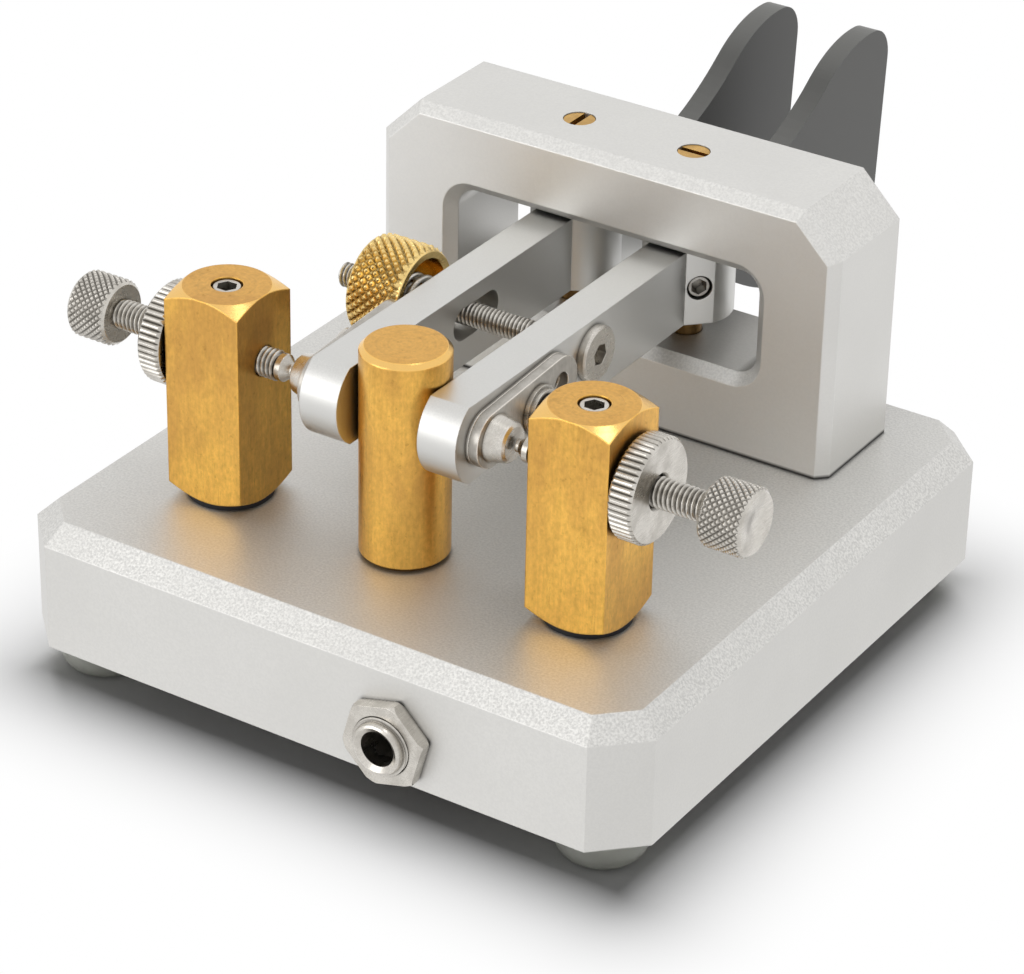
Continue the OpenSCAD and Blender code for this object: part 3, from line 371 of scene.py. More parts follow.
@dataclass(frozen=True)
class DrawnBrass(Finish):
    """Brass bar, drawn along its length, handled, mottled and a little tarnished."""

    tarnish: Colour = (0.46, 0.235, 0.075)
    # The stains' colour, also used for painted shade in corners.
    stain_and_shade: Colour = (0.16, 0.085, 0.022)
    # The cones' paler colour: partly fresh turned brass, partly a painted highlight.
    facet: Colour = (0.90, 0.57, 0.19)
    draw_axis: Point = (1.0, 1.0, 0.05)
    axis_x: float = 0.0
    axis_y: float = 0.0
    line_size: float = 0.00026
    mark_depth: float = 0.000013
    mottle_size: float = 0.00042
    blotch_size: float = 0.0062
    speck_size: float = 0.0006
    stain_size: float = 0.0028
    wear_size: float = 0.0011
    crevice: float = 0.0006

    def draw(self, graph: Graph) -> None:
        """Tool marks, a mottled grain, brown tarnish, darker tops, dark stains, painted corner shade, and
        paler cones and edges, partly polish and wear and partly a painted highlight.
        """
        at = graph.position()
        rounded = graph.rounded(self.edge_round)
        edge = graph.edges(rounded)
        up = graph.upward()
        top = graph.between(up, 0.95, 0.99)
        sloped = graph.between(up, 0.35, 0.5)
        cone = sloped * (1.0 - top)
        marks = self._tool_marks(graph, at, sloped)
        mottle = graph.noise(graph.stretched(at, (1.0, 1.0, 0.6)), self.mottle_size, 5.0, 0.7)
        tall = graph.stretched(at, (1.0, 1.0, 0.4))
        blotch = graph.between(graph.noise(tall, self.blotch_size, 5.0, 0.62), 0.38, 0.64)
        speck = graph.between(graph.noise(at, self.speck_size, 3.0, 0.6), 0.63, 0.74)
        stains = graph.between(graph.noise(tall, self.stain_size, 4.0, 0.6), 0.60, 0.74)
        worked = graph.between(0.7 * mottle + 0.3 * marks, 0.36, 0.64)
        grain = graph.blend(worked, self.shade(0.8), self.shade(1.13))
        # Tarnish in blotches, and every top tinted darker brown in the same colour.
        tarnished_and_top_tinted = graph.blend(graph.math("MAXIMUM", blotch * 0.55, top * 0.4), grain, self.tarnish)
        # Painted shade in corners, in the same dark colour as the stains.
        hidden = 0.6 * graph.crevices(self.crevice)
        stained_and_shaded = graph.blend(speck * 0.24 + stains * 0.36 + hidden, tarnished_and_top_tinted, self.stain_and_shade)
        # Edges painted lighter: partly rubbed wear, partly a painted highlight.
        rubbed_and_highlit = edge * graph.between(graph.noise(at, self.wear_size), 0.3, 0.6, 0.3, 1.0)
        # Cones painted paler: partly fresh turned brass, partly a painted highlight.
        turned = graph.blend(cone * 0.85, stained_and_shaded, self.facet)
        colour = graph.blend(rubbed_and_highlit * 0.6, turned, self.shade(1.3))
        dull = 0.14 * (marks - 0.5) + 0.12 * blotch + 0.15 * speck
        rough = self.roughness + dull - 0.08 * rubbed_and_highlit - 0.15 * cone
        normal = graph.bump(0.4 * marks + 0.6 * mottle, self.mark_depth, rounded)
        graph.surface(colour, rough, normal, METAL)

    def _tool_marks(self, graph: Graph, at: Signal, sloped: Signal) -> Signal:
        """Lines along the bar on its sides and turning rings on its ends.

        Args:
            graph: The material's graph.
            at: The place on the piece.
            sloped: 0 on a side and 1 on an end.

        Returns:
            The marks, from 0 to 1.
        """
        lines = graph.noise(graph.stretched(at, self.draw_axis), self.line_size, 3.0, 0.6)
        from_axis = graph.vector("SUBTRACT", at, (self.axis_x, self.axis_y, 0.0))
        radius = graph.vector("LENGTH", graph.stretched(from_axis, (1.0, 1.0, 0.0)), output="Value")
        ring_place = graph.node("ShaderNodeCombineXYZ", {"X": radius})
        rings = graph.noise(graph.out(ring_place), self.line_size, 1.0)
        return lines + sloped * (rings - lines)


@dataclass(frozen=True)
class PlatedMetal(Finish):
    """Turned metal under a thin bright plate, with handling marks."""

    # The grime colour, which also gives, darker, the painted shade in grooves and corners.
    grime_and_shade: Colour = (0.16, 0.14, 0.11)
    grime_share: float = 0.3
    scratch: Point = (1.0, 0.12, 1.0)
    scratch_size: float = 0.00016
    scratch_depth: float = 0.000004
    film_size: float = 0.0021
    sunk_share: float = 0.85
    # How much the edges are painted lighter: partly polish, partly a painted highlight.
    edge_light: float = 0.5
    edge_gain: float = 1.22
    crevice: float = 0.0005

    def draw(self, graph: Graph) -> None:
        """Fine scratches, a film of grime away from the edges, painted shade in grooves and corners, and
        edges lighter by polish and a painted highlight.
        """
        at = graph.position()
        rounded = graph.rounded(self.edge_round)
        edge = graph.edges(rounded)
        scratches = graph.noise(graph.stretched(at, self.scratch), self.scratch_size, 3.0, 0.65)
        film = graph.between(graph.noise(at, self.film_size, 4.0, 0.6), 0.42, 0.7)
        toned = graph.blend(graph.between(scratches, 0.3, 0.7), self.shade(0.9), self.shade(1.08))
        filmed = graph.blend(film * self.grime_share * (1.0 - edge), toned, self.grime_and_shade)
        # Edges painted lighter: partly polish, partly a painted highlight.
        polished_and_highlit = graph.blend(edge * self.edge_light, filmed, self.shade(self.edge_gain))
        # Painted shade in the grooves and in corners, in a darker copy of the grime colour.
        sunk = graph.between(graph.attribute(GROOVE), 0.3, 0.95)
        dark = tuple(0.3 * share for share in self.grime_and_shade)
        hidden = graph.math("MAXIMUM", sunk * self.sunk_share, 0.75 * graph.crevices(self.crevice))
        colour = graph.blend(hidden, polished_and_highlit, dark)
        rough = self.roughness + 0.14 * (scratches - 0.5) + 0.14 * film - 0.06 * edge + 0.25 * sunk
        normal = graph.bump(scratches, self.scratch_depth, rounded)
        graph.surface(colour, rough, normal, METAL)


@dataclass(frozen=True)
class MouldedPlastic(Finish):
    """Filled plastic with a satin, faintly pebbled skin."""

    pebble_size: float = 0.00028
    pebble_depth: float = 0.000012
    polish_size: float = 0.009
    scuff_size: float = 0.0011
    scuff_share: float = 0.25

    def draw(self, graph: Graph) -> None:
        """Pebbled skin, pale scuffs, edges lighter partly by wear and partly as a painted highlight, and
        finger polish in patches.
        """
        at = graph.position()
        rounded = graph.rounded(self.edge_round)
        edge = graph.edges(rounded)
        pebbles = graph.noise(at, self.pebble_size, 2.0, 0.55)
        polish = graph.between(graph.noise(at, self.polish_size, 3.0), 0.4, 0.65)
        along = graph.stretched(at, (1.0, 0.2, 1.0))
        scuffs = graph.between(graph.noise(along, self.scuff_size, 4.0), 0.56, 0.74)
        skin = graph.blend(graph.between(pebbles, 0.3, 0.7), self.shade(0.86), self.shade(1.14))
        scuffed = graph.blend(scuffs * self.scuff_share, skin, self.shade(1.5))
        # Edges painted lighter: partly scuffed wear, partly a painted highlight.
        colour = graph.blend(edge * 0.6, scuffed, self.shade(1.8))
        rough = self.roughness + 0.12 * (pebbles - 0.5) - 0.1 * polish + 0.08 * scuffs
        normal = graph.bump(pebbles, self.pebble_depth, rounded)
        graph.surface(colour, rough, normal)


@dataclass(frozen=True)
class FootRubber(Finish):
    """Soft, slightly clear rubber that has picked up dust."""

    dust: Colour = (0.62, 0.62, 0.57)
    dust_size: float = 0.0011
    cloud_size: float = 0.0032
    skin_size: float = 0.00025
    skin_depth: float = 0.000008
    clear_share: float = 0.35
    clear_tint: Colour = (0.4, 0.45, 0.4)
    clear_depth: float = 0.002

    def draw(self, graph: Graph) -> None:
        """Cloudy rubber, dust and a fine moulded skin."""
        at = graph.position()
        rounded = graph.rounded(self.edge_round)
        cloud = graph.noise(at, self.cloud_size, 3.0)
        skin = graph.noise(at, self.skin_size, 2.0)
        dusty = graph.between(graph.noise(at, self.dust_size, 4.0, 0.6), 0.5, 0.72)
        body = graph.blend(cloud, self.shade(0.8), self.shade(1.2))
        colour = graph.blend(dusty * 0.35, body, self.dust)
        rough = self.roughness + 0.25 * dusty + 0.08 * (skin - 0.5)
        normal = graph.bump(skin, self.skin_depth, rounded)
        clear = {
            "Subsurface Weight": self.clear_share,
            "Subsurface Radius": self.clear_tint,
            "Subsurface Scale": self.clear_depth,
        }
        graph.surface(colour, rough, normal, clear)


@dataclass(frozen=True)
class WireInsulation(Finish):
    """Thin extruded insulation with a waxy gloss."""

    dust: Colour = (0.4, 0.38, 0.35)
    dust_size: float = 0.0016
    line_size: float = 0.00012
    line_depth: float = 0.000006

    def draw(self, graph: Graph) -> None:
        """Faint extrusion lines and patches of dust."""
        at = graph.position()
        rounded = graph.rounded(self.edge_round)
        lines = graph.noise(graph.stretched(at, (1.0, 0.1, 1.0)), self.line_size, 2.0)
        dusty = graph.between(graph.noise(at, self.dust_size, 4.0), 0.5, 0.75)
        body = graph.blend(lines, self.shade(0.82), self.shade(1.15))
        colour = graph.blend(dusty * 0.2, body, self.dust)
        rough = self.roughness + 0.1 * (lines - 0.5) + 0.25 * dusty
        normal = graph.bump(lines, self.line_depth, rounded)
        graph.surface(colour, rough, normal)


@dataclass(frozen=True)
class FloorPaper(Finish):
    """White paper that keeps the shadow close to the object and is pure white further out."""

    half_width: float
    half_depth: float
    middle_y: float
    inset: float = 0.0018
    fade: float = 0.0185
    fibre_size: float = 0.0009

    def draw(self, graph: Graph) -> None:
        """Matt paper near the base that fades into white, from a plan a little inside the base's edge."""
        at = graph.position()
        offset = graph.vector("SUBTRACT", at, (0.0, self.middle_y, 0.0))
        half = (self.half_width - self.inset, self.half_depth - self.inset, 1.0)
        beyond = graph.vector("SUBTRACT", graph.vector("ABSOLUTE", offset), half)
        gap = graph.vector("LENGTH", graph.vector("MAXIMUM", beyond, (0.0, 0.0, 0.0)), output="Value")
        near = graph.between(gap, 0.0, self.fade, 1.0, 0.0)
        far = 1.0 - near * near
        fibres = graph.noise(at, self.fibre_size, 3.0)
        colour = graph.blend(fibres, self.shade(0.985), self.shade(1.0))
        paper = graph.node("ShaderNodeBsdfDiffuse", {"Color": colour, "Roughness": self.roughness})
        white = graph.node("ShaderNodeEmission", {"Color": rgba(WHITE)})
        mirrored = graph.between(gap, 0.0, self.inset) * graph.mirror_ray()
        share = graph.math("MAXIMUM", far * graph.seen_ray(), mirrored)
        mixed = graph.node("ShaderNodeMixShader", {0: share, 1: graph.out(paper), 2: graph.out(white)})
        graph.node("ShaderNodeOutputMaterial", {"Surface": graph.out(mixed)})


# Turned pieces


def saw(place: float) -> float:
    """0 at whole numbers, 1 half way between them, straight in between."""
    return 1 - abs(2 * (place % 1) - 1)


class Cut(NamedTuple):
    """Where the edge of a ring lies at one angle, and how deep in a groove that is, from 0 to 1."""

    radius: float
    groove: float = 0.0


Outline = Callable[[float], Cut]


def hexagon(across: float) -> Outline:
    """A ring that is a hexagon, given across its flats."""
    sixth = TAU / 6
    return lambda angle: Cut(across / 2 / math.cos(angle % sixth - sixth / 2))


def carved(radius: float, depth: float, height: float) -> Cut:
    """The cut at a height from 0 on the floor of a groove to 1 where nothing is cut away."""
    sunk = 1 - min(1.0, height)
    return Cut(radius - depth * sunk, sunk)


@dataclass(frozen=True)
class Thread:
    """A right-handed screw thread with straight flanks and flat crests."""

    radius: float
    pitch: float
    depth_share: float = 0.55
    slope: float = 1.25
    rings_per_pitch: int = 8
    sides: int = 56

    @property
    def step(self) -> float:
        """The distance between the rings that draw the thread."""
        return self.pitch / self.rings_per_pitch

    def ring(self, distance: float) -> Outline:
        """The thread's outline at one distance along its axis."""
        depth = self.pitch * self.depth_share
        turns = distance / self.pitch
        return lambda angle: carved(self.radius, depth, self.slope * saw(turns - angle / TAU))


@dataclass(frozen=True)
class Knurl:
    """Grooves round a rim: straight across it, or two sets that cross and leave small pyramids."""

    radius: float
    count: int
    depth: float
    crossed: bool
    slope: float = 1.6

    @property
    def pitch(self) -> float:
        """The distance from one tooth to the next."""
        return TAU * self.radius / self.count

    @property
    def step(self) -> float:
        """The distance between the rings that draw crossed grooves."""
        return self.pitch / STEPS_PER_TOOTH

    @property
    def sides(self) -> int:
        """How many points a ring needs to draw every tooth."""
        return self.count * STEPS_PER_TOOTH

    def ring(self, distance: float) -> Outline:
        """The knurl's outline at one distance along its axis."""
        along = distance / self.pitch if self.crossed else 0.0

        def cut_at(angle: float) -> Cut:
            """Groove or tooth, by the nearer groove."""
            around = angle / TAU * self.count
            height = self.slope * min(saw(around + along), saw(around - along))
            return carved(self.radius, self.depth, height)

        return cut_at


@dataclass(frozen=True)
class TurnedEnds:
    """A knurl whose two ends are turned down to a clean chamfer."""

    knurl: Knurl
    start: float
    end: float
    edge: float

    def ring(self, distance: float) -> Outline:
        """The knurl's outline, held inside the chamfer at this distance."""
        from_end = min(distance - self.start, self.end - distance)
        limit = Cut(self.knurl.radius - max(0.0, self.edge - from_end))
        knurled = self.knurl.ring(distance)
        return lambda angle: min(knurled(angle), limit)


@dataclass(frozen=True)
class Axis:
    """A place and a direction that pieces are turned about."""

    origin: Vector
    along: Vector

    def point(self, distance: float, radius: float, angle: float) -> Vector:
        """A point at a distance along the axis, at a radius and an angle round it."""
        side = self.along.orthogonal().normalized()
        up = self.along.cross(side)
        return self.origin + self.along * distance + (side * math.cos(angle) + up * math.sin(angle)) * radius


def turning(box: Sequence[Vector], along: Point) -> tuple[Axis, float, float]:
    """The line that a round node is turned about.

    Args:
        box: The low and the high corner of the node's box.
        along: The direction of the line, along x or y.

    Returns:
        The line from the node's near end, the node's length and its radius.
    """
    low, high = box
    way, across = (0, 1) if along[0] else (1, 0)
    near = (low + high) / 2
    near[way] = low[way] if along[way] > 0 else high[way]
    return Axis(near, Vector(along)), high[way] - low[way], (high[across] - low[across]) / 2


def bridge(mesh: bmesh.types.BMesh, rows: Sequence[Sequence[bmesh.types.BMVert]]) -> None:
    """Join rows of points, each of which closes into a loop, with faces.

    Args:
        mesh: The mesh of the points.
        rows: The rows, each joined to the one before it.
    """
    for first, second in zip(rows, rows[1:]):
        for i in range(len(first)):
            j = (i + 1) % len(first)
            mesh.faces.new((first[i], first[j], second[j], second[i]))


@dataclass
class Turned:
    """A closed skin of rings along an axis, each joined to the one before it.

    A hollow skin joins its last ring to the first and leaves the middle open.
    """

    axis: Axis
    around: int
    hollow: bool = False
    rings: list[list[tuple[Vector, float]]] = field(default_factory=list)

    def ring(self, distance: float, outline: Outline) -> None:
        """Add one ring.

        Args:
            distance: How far along the axis it stands.
            outline: The radius and the groove at each angle.
        """
        corners = []
        for i in range(self.around):
            angle = TAU * i / self.around
            cut = outline(angle)
            corners.append((self.axis.point(distance, cut.radius, angle), cut.groove))
        self.rings.append(corners)

    def circle(self, distance: float, radius: float) -> None:
        """Add one round ring."""
        self.ring(distance, lambda angle: Cut(radius))

    def run(self, start: float, end: float, step: float, outline: Callable[[float], Outline]) -> None:
        """Add rings at even steps.

        Args:
            start: Where the first ring stands.
            end: Where the last ring stands.
            step: The longest step between rings.
            outline: The outline at each distance.
        """
        count = max(1, math.ceil(abs(end - start) / step))
        for i in range(count + 1):
            distance = start + (end - start) * i / count
            self.ring(distance, outline(distance))

    def add_to(self, mesh: bmesh.types.BMesh, layer: bmesh.types.BMLayerItem) -> None:
        """Add the skin to a mesh.

        Args:
            mesh: The mesh to add it to.
            layer: The layer that keeps how deep in a groove each point lies.
        """
        rows = []
        for ring in self.rings:
            row = []
            for place, groove in ring:
                vert = mesh.verts.new(place)
                vert[layer] = groove
                row.append(vert)
            rows.append(row)
        if self.hollow:
            rows.append(rows[0])
        bridge(mesh, rows)
        if not self.hollow:
            mesh.faces.new(list(reversed(rows[0])))
            mesh.faces.new(rows[-1])


def turned_piece(name: str, *skins: Turned) -> bpy.types.Object:
    """Build one piece from turned skins.

    Args:
        name: The new object's name.
        *skins: The skins that it is made of.

    Returns:
        The new object.
    """
    mesh = bmesh.new()
    layer = mesh.verts.layers.float.new(GROOVE)
    for skin in skins:
        skin.add_to(mesh, layer)
    return finish_mesh(mesh, name)


def finish_mesh(mesh: bmesh.types.BMesh, name: str) -> bpy.types.Object:
    """Turn a bmesh into an object in the scene, smooth apart from its sharp edges.

    Args:
        mesh: The mesh, which is freed.
        name: The new object's name.

    Returns:
        The new object.
    """
    bmesh.ops.recalc_face_normals(mesh, faces=mesh.faces)
    for face in mesh.faces:
        face.smooth = True
    for edge in mesh.edges:
        edge.smooth = len(edge.link_faces) == 2 and edge.calc_face_angle() < SHARP_ANGLE
    data = bpy.data.meshes.new(name)
    mesh.to_mesh(data)
    mesh.free()
    piece = bpy.data.objects.new(name, data)
    bpy.context.scene.collection.objects.link(piece)
    return piece


# Sub-assemblies


@dataclass
class Assembly(ABC):
    """A group of pieces that belong together on the key."""

    nodes: Mapping[str, bpy.types.Object]

    @abstractmethod
    def build(self) -> None:
        """Build the group's own pieces and dress its nodes."""

    def dress(self, finish: Finish, *names: str) -> None:
        """Give carried-over nodes a finish.

        Args:
            finish: The finish that they take.
            *names: The nodes' names.
        """
        material = finish.material()
        for name in names:
            for slot in self.nodes[name].material_slots:
                slot.material = material
            log.info("dressed %s in %s", name, finish.name)

    def place(self, piece: bpy.types.Object, node: str, finish: Finish, slot: str) -> None:
        """Set a new piece in a node's place.

        Args:
            piece: The piece that was built.
            node: The node that it stands for.
            finish: The piece's finish.
            slot: Not used.
        """
        piece.data.materials.append(finish.material())
        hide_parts(node)
        log.info("built %s with %d faces", piece.name, len(piece.data.polygons))


ALUMINIUM = BlastedAluminium("blasted_aluminium", (0.70, 0.692, 0.67), 0.56, 0.00018)
# The frame's copy of the base's aluminium, painted 2% lighter as painted light, smoother and with less
# sparkle.
FRAME_ALUMINIUM_PAINTED_LIGHTER = replace(
    ALUMINIUM, name="frame_aluminium_painted_lighter", colour=ALUMINIUM.shade(1.02), roughness=0.48, sparkle=0.08,
    top_sparkle=0.4,
)
LEVER_ALUMINIUM = BlastedAluminium(
    "lever_aluminium", (0.66, 0.655, 0.635), 0.40, 0.00015, grain=0.00016, grain_depth=0.00001, sparkle=0.04
)
DRAWN_BRASS = DrawnBrass("drawn_brass", (0.87, 0.50, 0.108), 0.29, 0.00025)
NICKEL = PlatedMetal("nickel_plate", (0.64, 0.61, 0.56), 0.24, 0.00006)
DARK_STEEL = PlatedMetal("oiled_steel", (0.42, 0.405, 0.38), 0.28, 0.00006, grime_share=0.5)
SPRING_STEEL = PlatedMetal("spring_steel", (0.86, 0.84, 0.80), 0.34, 0.00004, grime_share=0.1)
SILVER_TIP = PlatedMetal("contact_silver", (0.58, 0.545, 0.49), 0.2, 0.00008, grime_share=0.5)
# The plate's edges are painted much lighter: partly polish, mostly a painted rim highlight.
BRIGHT_PLATE = PlatedMetal(
    "bright_plate", (0.50, 0.475, 0.435), 0.3, 0.00022, scratch=(1.0, 1.0, 0.1), edge_light=1.0,
    edge_gain=1.8,
)
GOLD_KNURL = PlatedMetal(
    "gold_knurl", (0.92, 0.68, 0.28), 0.18, 0.00005, (0.30, 0.16, 0.02), sunk_share=0.5, crevice=0.0002
)
SCREW_BRASS = PlatedMetal("screw_brass", (0.62, 0.37, 0.10), 0.25, 0.00006, (0.2, 0.1, 0.02), 0.4)
# A much darker copy of the screw brass, for the lower pivot screws under the hubs.
DARK_SCREW_BRASS = PlatedMetal("dark_screw_brass", (0.24, 0.14, 0.05), 0.36, 0.00006, (0.08, 0.05, 0.02), 0.6)
BLACK_PLASTIC = MouldedPlastic("black_plastic", (0.018, 0.018, 0.02), 0.5, 0.0001)
PADDLE_PLASTIC = MouldedPlastic("paddle_plastic", (0.066, 0.0645, 0.062), 0.45, 0.0002)
RUBBER = FootRubber("foot_rubber", (0.68, 0.69, 0.62), 0.35, 0.0003)
RED_WIRE = WireInsulation("red_insulation", (0.42, 0.02, 0.02), 0.3, 0.00005)
BLUE_WIRE = WireInsulation("blue_insulation", (0.04, 0.1, 0.6), 0.3, 0.00005)
BROWN_WIRE = WireInsulation("copper_insulation", (0.48, 0.17, 0.06), 0.3, 0.00005)


@dataclass
class Base(Assembly):
    """The base plate with its feet, cover and the screws that hold them."""

    def build(self) -> None:
        """Dress the base plate and what is fixed to it from below."""
        self.dress(ALUMINIUM, "base_plate")
        self.dress(RUBBER, "rubber_feet")
        self.dress(BRIGHT_PLATE, "underside_cover")
        self.dress(DARK_STEEL, "cover_screws", "frame_bolts")


@dataclass
class PivotFrame(Assembly):
    """The frame that both levers turn in, with its pivot screws."""

    def build(self) -> None:
        """Dress the frame and its screws."""
        low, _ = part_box("pivot_frame")
        self.dress(replace(FRAME_ALUMINIUM_PAINTED_LIGHTER, seat_height=low.z), "pivot_frame")
        self.dress(SCREW_BRASS, "upper_pivot_screws")
        self.dress(DARK_SCREW_BRASS, "lower_pivot_screws")


@dataclass
class Lever(Assembly):
    """One lever with its paddle, shaft, contact plate and screws."""

    side: Side

    def build(self) -> None:
        """Dress everything that swings with this lever."""
        word = self.side.word
        self.dress(LEVER_ALUMINIUM, f"{word}_lever")
        self.dress(PADDLE_PLASTIC, f"{word}_paddle")
        self.dress(BRIGHT_PLATE, f"{word}_contact_plate", f"{word}_plate_spacer")
        self.dress(NICKEL, f"{word}_contact_stud", f"{word}_plate_screw", f"{word}_paddle_screws")
        self.dress(DARK_STEEL, f"{word}_pivot_shaft", f"{word}_hub_screw")


@dataclass
class ContactPosts(Assembly):
    """The two contact posts, the stop post between them, and how they are fixed."""

    def build(self) -> None:
        """Dress each post with rings about its own axis, and the pieces under it."""
        for name in ("left_contact_post", "right_contact_post", "centre_post"):
            low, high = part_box(name)
            middle = (low + high) / 2
            brass = replace(DRAWN_BRASS, name=f"{name}_brass", axis_x=middle.x, axis_y=middle.y)
            self.dress(brass, name)
        self.dress(NICKEL, "post_lock_screws")
        self.dress(DARK_STEEL, "post_bolts", "centre_post_bolt")
        self.dress(BLACK_PLASTIC, "post_washers", "post_bushes")
        self.dress(SCREW_BRASS, "solder_lugs")


@dataclass
class ContactScrew(Assembly):
    """One contact screw with its knurled head, tip and locknut."""

    side: Side
    thread: Thread = Thread(0.0015, 0.0005)
    head_length: float = 0.0045
    head_edge: float = 0.00045
    head_teeth: int = 29
    head_depth: float = 0.00024
    nut_teeth: int = 50
    nut_depth: float = 0.00026
    nut_edge: float = 0.0003
    bore_clearance: float = 0.00005

    def build(self) -> None:
        """Build the screw and its locknut, and dress the tip."""
        self._build_screw()
        self._build_nut()
        self.dress(SILVER_TIP, f"{self.side.word}_contact_tip")

    def _turning(self, node: str) -> tuple[Axis, float, float]:
        """The node's own line, pointing away from the lever, with the node's length and radius."""
        return turning(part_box(node), (self.side.value, 0.0, 0.0))

    def _build_screw(self) -> None:
        """Build the thread and the knurled head."""
        name = f"{self.side.word}_contact_screw"
        axis, length, radius = self._turning(name)
        head = length - self.head_length
        knurl = Knurl(radius, self.head_teeth, self.head_depth, crossed=True)
        shank = Turned(axis, self.thread.sides)
        shank.circle(0.0, self.thread.radius - self.head_edge)
        shank.run(self.head_edge / 2, head + self.head_edge, self.thread.step, self.thread.ring)
        top = Turned(axis, knurl.sides)
        top.circle(head, self.thread.radius / 2)
        chamfered = TurnedEnds(knurl, head, length, self.head_edge)
        top.run(head, length, knurl.step, chamfered.ring)
        top.circle(length, radius / 2)
        top.circle(length - self.head_edge / 4, radius / 2 - self.head_edge / 2)
        piece = turned_piece(f"{name}_knurled", shank, top)
        self.place(piece, name, NICKEL, "steel")
        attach(piece, name)

    def _build_nut(self) -> None:
        """Build the locknut with its toothed rim."""
        name = f"{self.side.word}_locknut"
        axis, length, radius = self._turning(name)
        knurl = Knurl(radius, self.nut_teeth, self.nut_depth, crossed=False)
        rim = TurnedEnds(knurl, 0.0, length, self.nut_edge)
        bore = self.thread.radius + self.bore_clearance
        step = self.nut_edge / 4
        nut = Turned(axis, knurl.sides, hollow=True)
        nut.circle(0.0, bore + self.nut_edge)
        nut.run(0.0, self.nut_edge, step, rim.ring)
        nut.run(length - self.nut_edge, length, step, rim.ring)
        nut.circle(length, bore + self.nut_edge)
        nut.circle(length - self.nut_edge, bore)
        nut.circle(self.nut_edge, bore)
        piece = turned_piece(f"{name}_toothed", nut)
        self.place(piece, name, NICKEL, "steel")
        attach(piece, name)


@dataclass
class Tension(Assembly):
    """The cross rod, its spring and the knurled knob that sets the pull of both levers."""

    thread: Thread = Thread(0.00125, 0.00045)
    rod_head: float = 0.0009
    rod_edge: float = 0.0002
    key_across: float = 0.002
    key_deep: float = 0.0013
    key_cone: float = 1.2
    knob_teeth: int = 31
    knob_depth: float = 0.0005
    knob_edge: float = 0.0004
    knob_lip: float = 0.0003
    cup_radius: float = 0.004
    cup_deep: float = 0.0044
    rod_clearance: float = 0.00005
    wire_radius: float = 0.0003
    wire_sides: int = 10
    coil_turns: float = 4.5
    coil_steps: int = 28
    coil_room: float = 0.0004

    def build(self) -> None:
        """Build the rod, the knob and the spring."""
        self._build_rod()
        self._build_knob()
        self._build_spring()

    def _build_rod(self) -> None:
        """Build the threaded rod and its round head with a hexagon socket."""
        axis, length, head_radius = turning(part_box("tension_rod"), (1.0, 0.0, 0.0))
        neck = length - self.rod_head
        rod = Turned(axis, self.thread.sides)
        rod.circle(0.0, self.thread.radius - 2 * self.rod_edge)
        rod.run(self.rod_edge, neck, self.thread.step, self.thread.ring)
        rod.circle(neck, head_radius)
        rod.circle(length - self.rod_edge, head_radius)
        rod.circle(length, head_radius - self.rod_edge)
        rod.ring(length, hexagon(self.key_across))
        rod.ring(length - self.key_deep, hexagon(self.key_across))
        rod.circle(length - self.key_deep * self.key_cone, self.key_across / 8)
        piece = turned_piece("tension_rod_threaded", rod)
        self.place(piece, "tension_rod", NICKEL, "steel")
        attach(piece, "right_lever")

    def _build_knob(self) -> None:
        """Build the knurled cup that the spring sits in."""
        axis, length, radius = turning(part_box("tension_knob"), (-1.0, 0.0, 0.0))
        bore = self.thread.radius + self.rod_clearance
        knurl = Knurl(radius, self.knob_teeth, self.knob_depth, crossed=True)
        chamfered = TurnedEnds(knurl, self.knob_lip, length, self.knob_edge)
        lip = radius - self.knob_edge
        knob = Turned(axis, knurl.sides, hollow=True)
        knob.circle(self.cup_deep, bore)
        knob.circle(self.cup_deep, self.cup_radius)
        knob.circle(self.knob_edge / 2, self.cup_radius)
        knob.circle(0.0, self.cup_radius + self.knob_edge / 3)
        knob.circle(0.0, lip - self.knob_edge / 4)
        knob.circle(self.knob_edge / 4, lip)
        knob.run(self.knob_lip, length, knurl.step, chamfered.ring)
        knob.circle(length, bore + self.knob_edge)
        knob.circle(length - self.knob_edge, bore)
        piece = turned_piece("tension_knob_knurled", knob)
        self.place(piece, "tension_knob", GOLD_KNURL, "gold_brass")
        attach(piece, "tension_knob")

    def _build_spring(self) -> None:
        """Build the coil between the left lever and the knob's cup, with room for the levers' swing."""
        low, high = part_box("tension_spring")
        middle = (low + high) / 2
        radius = (high.y - low.y) / 2 - self.wire_radius
        start = high.x - self.wire_radius - self.coil_room
        travel = low.x + self.wire_radius - start
        steps = int(self.coil_turns * self.coil_steps)
        across = Vector((1.0, 0.0, 0.0))
        corners = [TAU * k / self.wire_sides for k in range(self.wire_sides)]
        mesh = bmesh.new()
        rows = []
        for i in range(steps + 1):
            share = i / steps
            turn = TAU * self.coil_turns * share
            out = Vector((0.0, math.cos(turn), math.sin(turn)))
            centre = Vector((start + travel * share, middle.y, middle.z)) + out * radius
            spokes = [(out * math.cos(a) + across * math.sin(a)) * self.wire_radius for a in corners]
            rows.append([mesh.verts.new(centre + spoke) for spoke in spokes])
        bridge(mesh, rows)
        mesh.faces.new(rows[0])
        mesh.faces.new(rows[-1])
        piece = finish_mesh(mesh, "tension_spring_coil")
        self.place(piece, "tension_spring", SPRING_STEEL, "steel")
        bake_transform(piece)


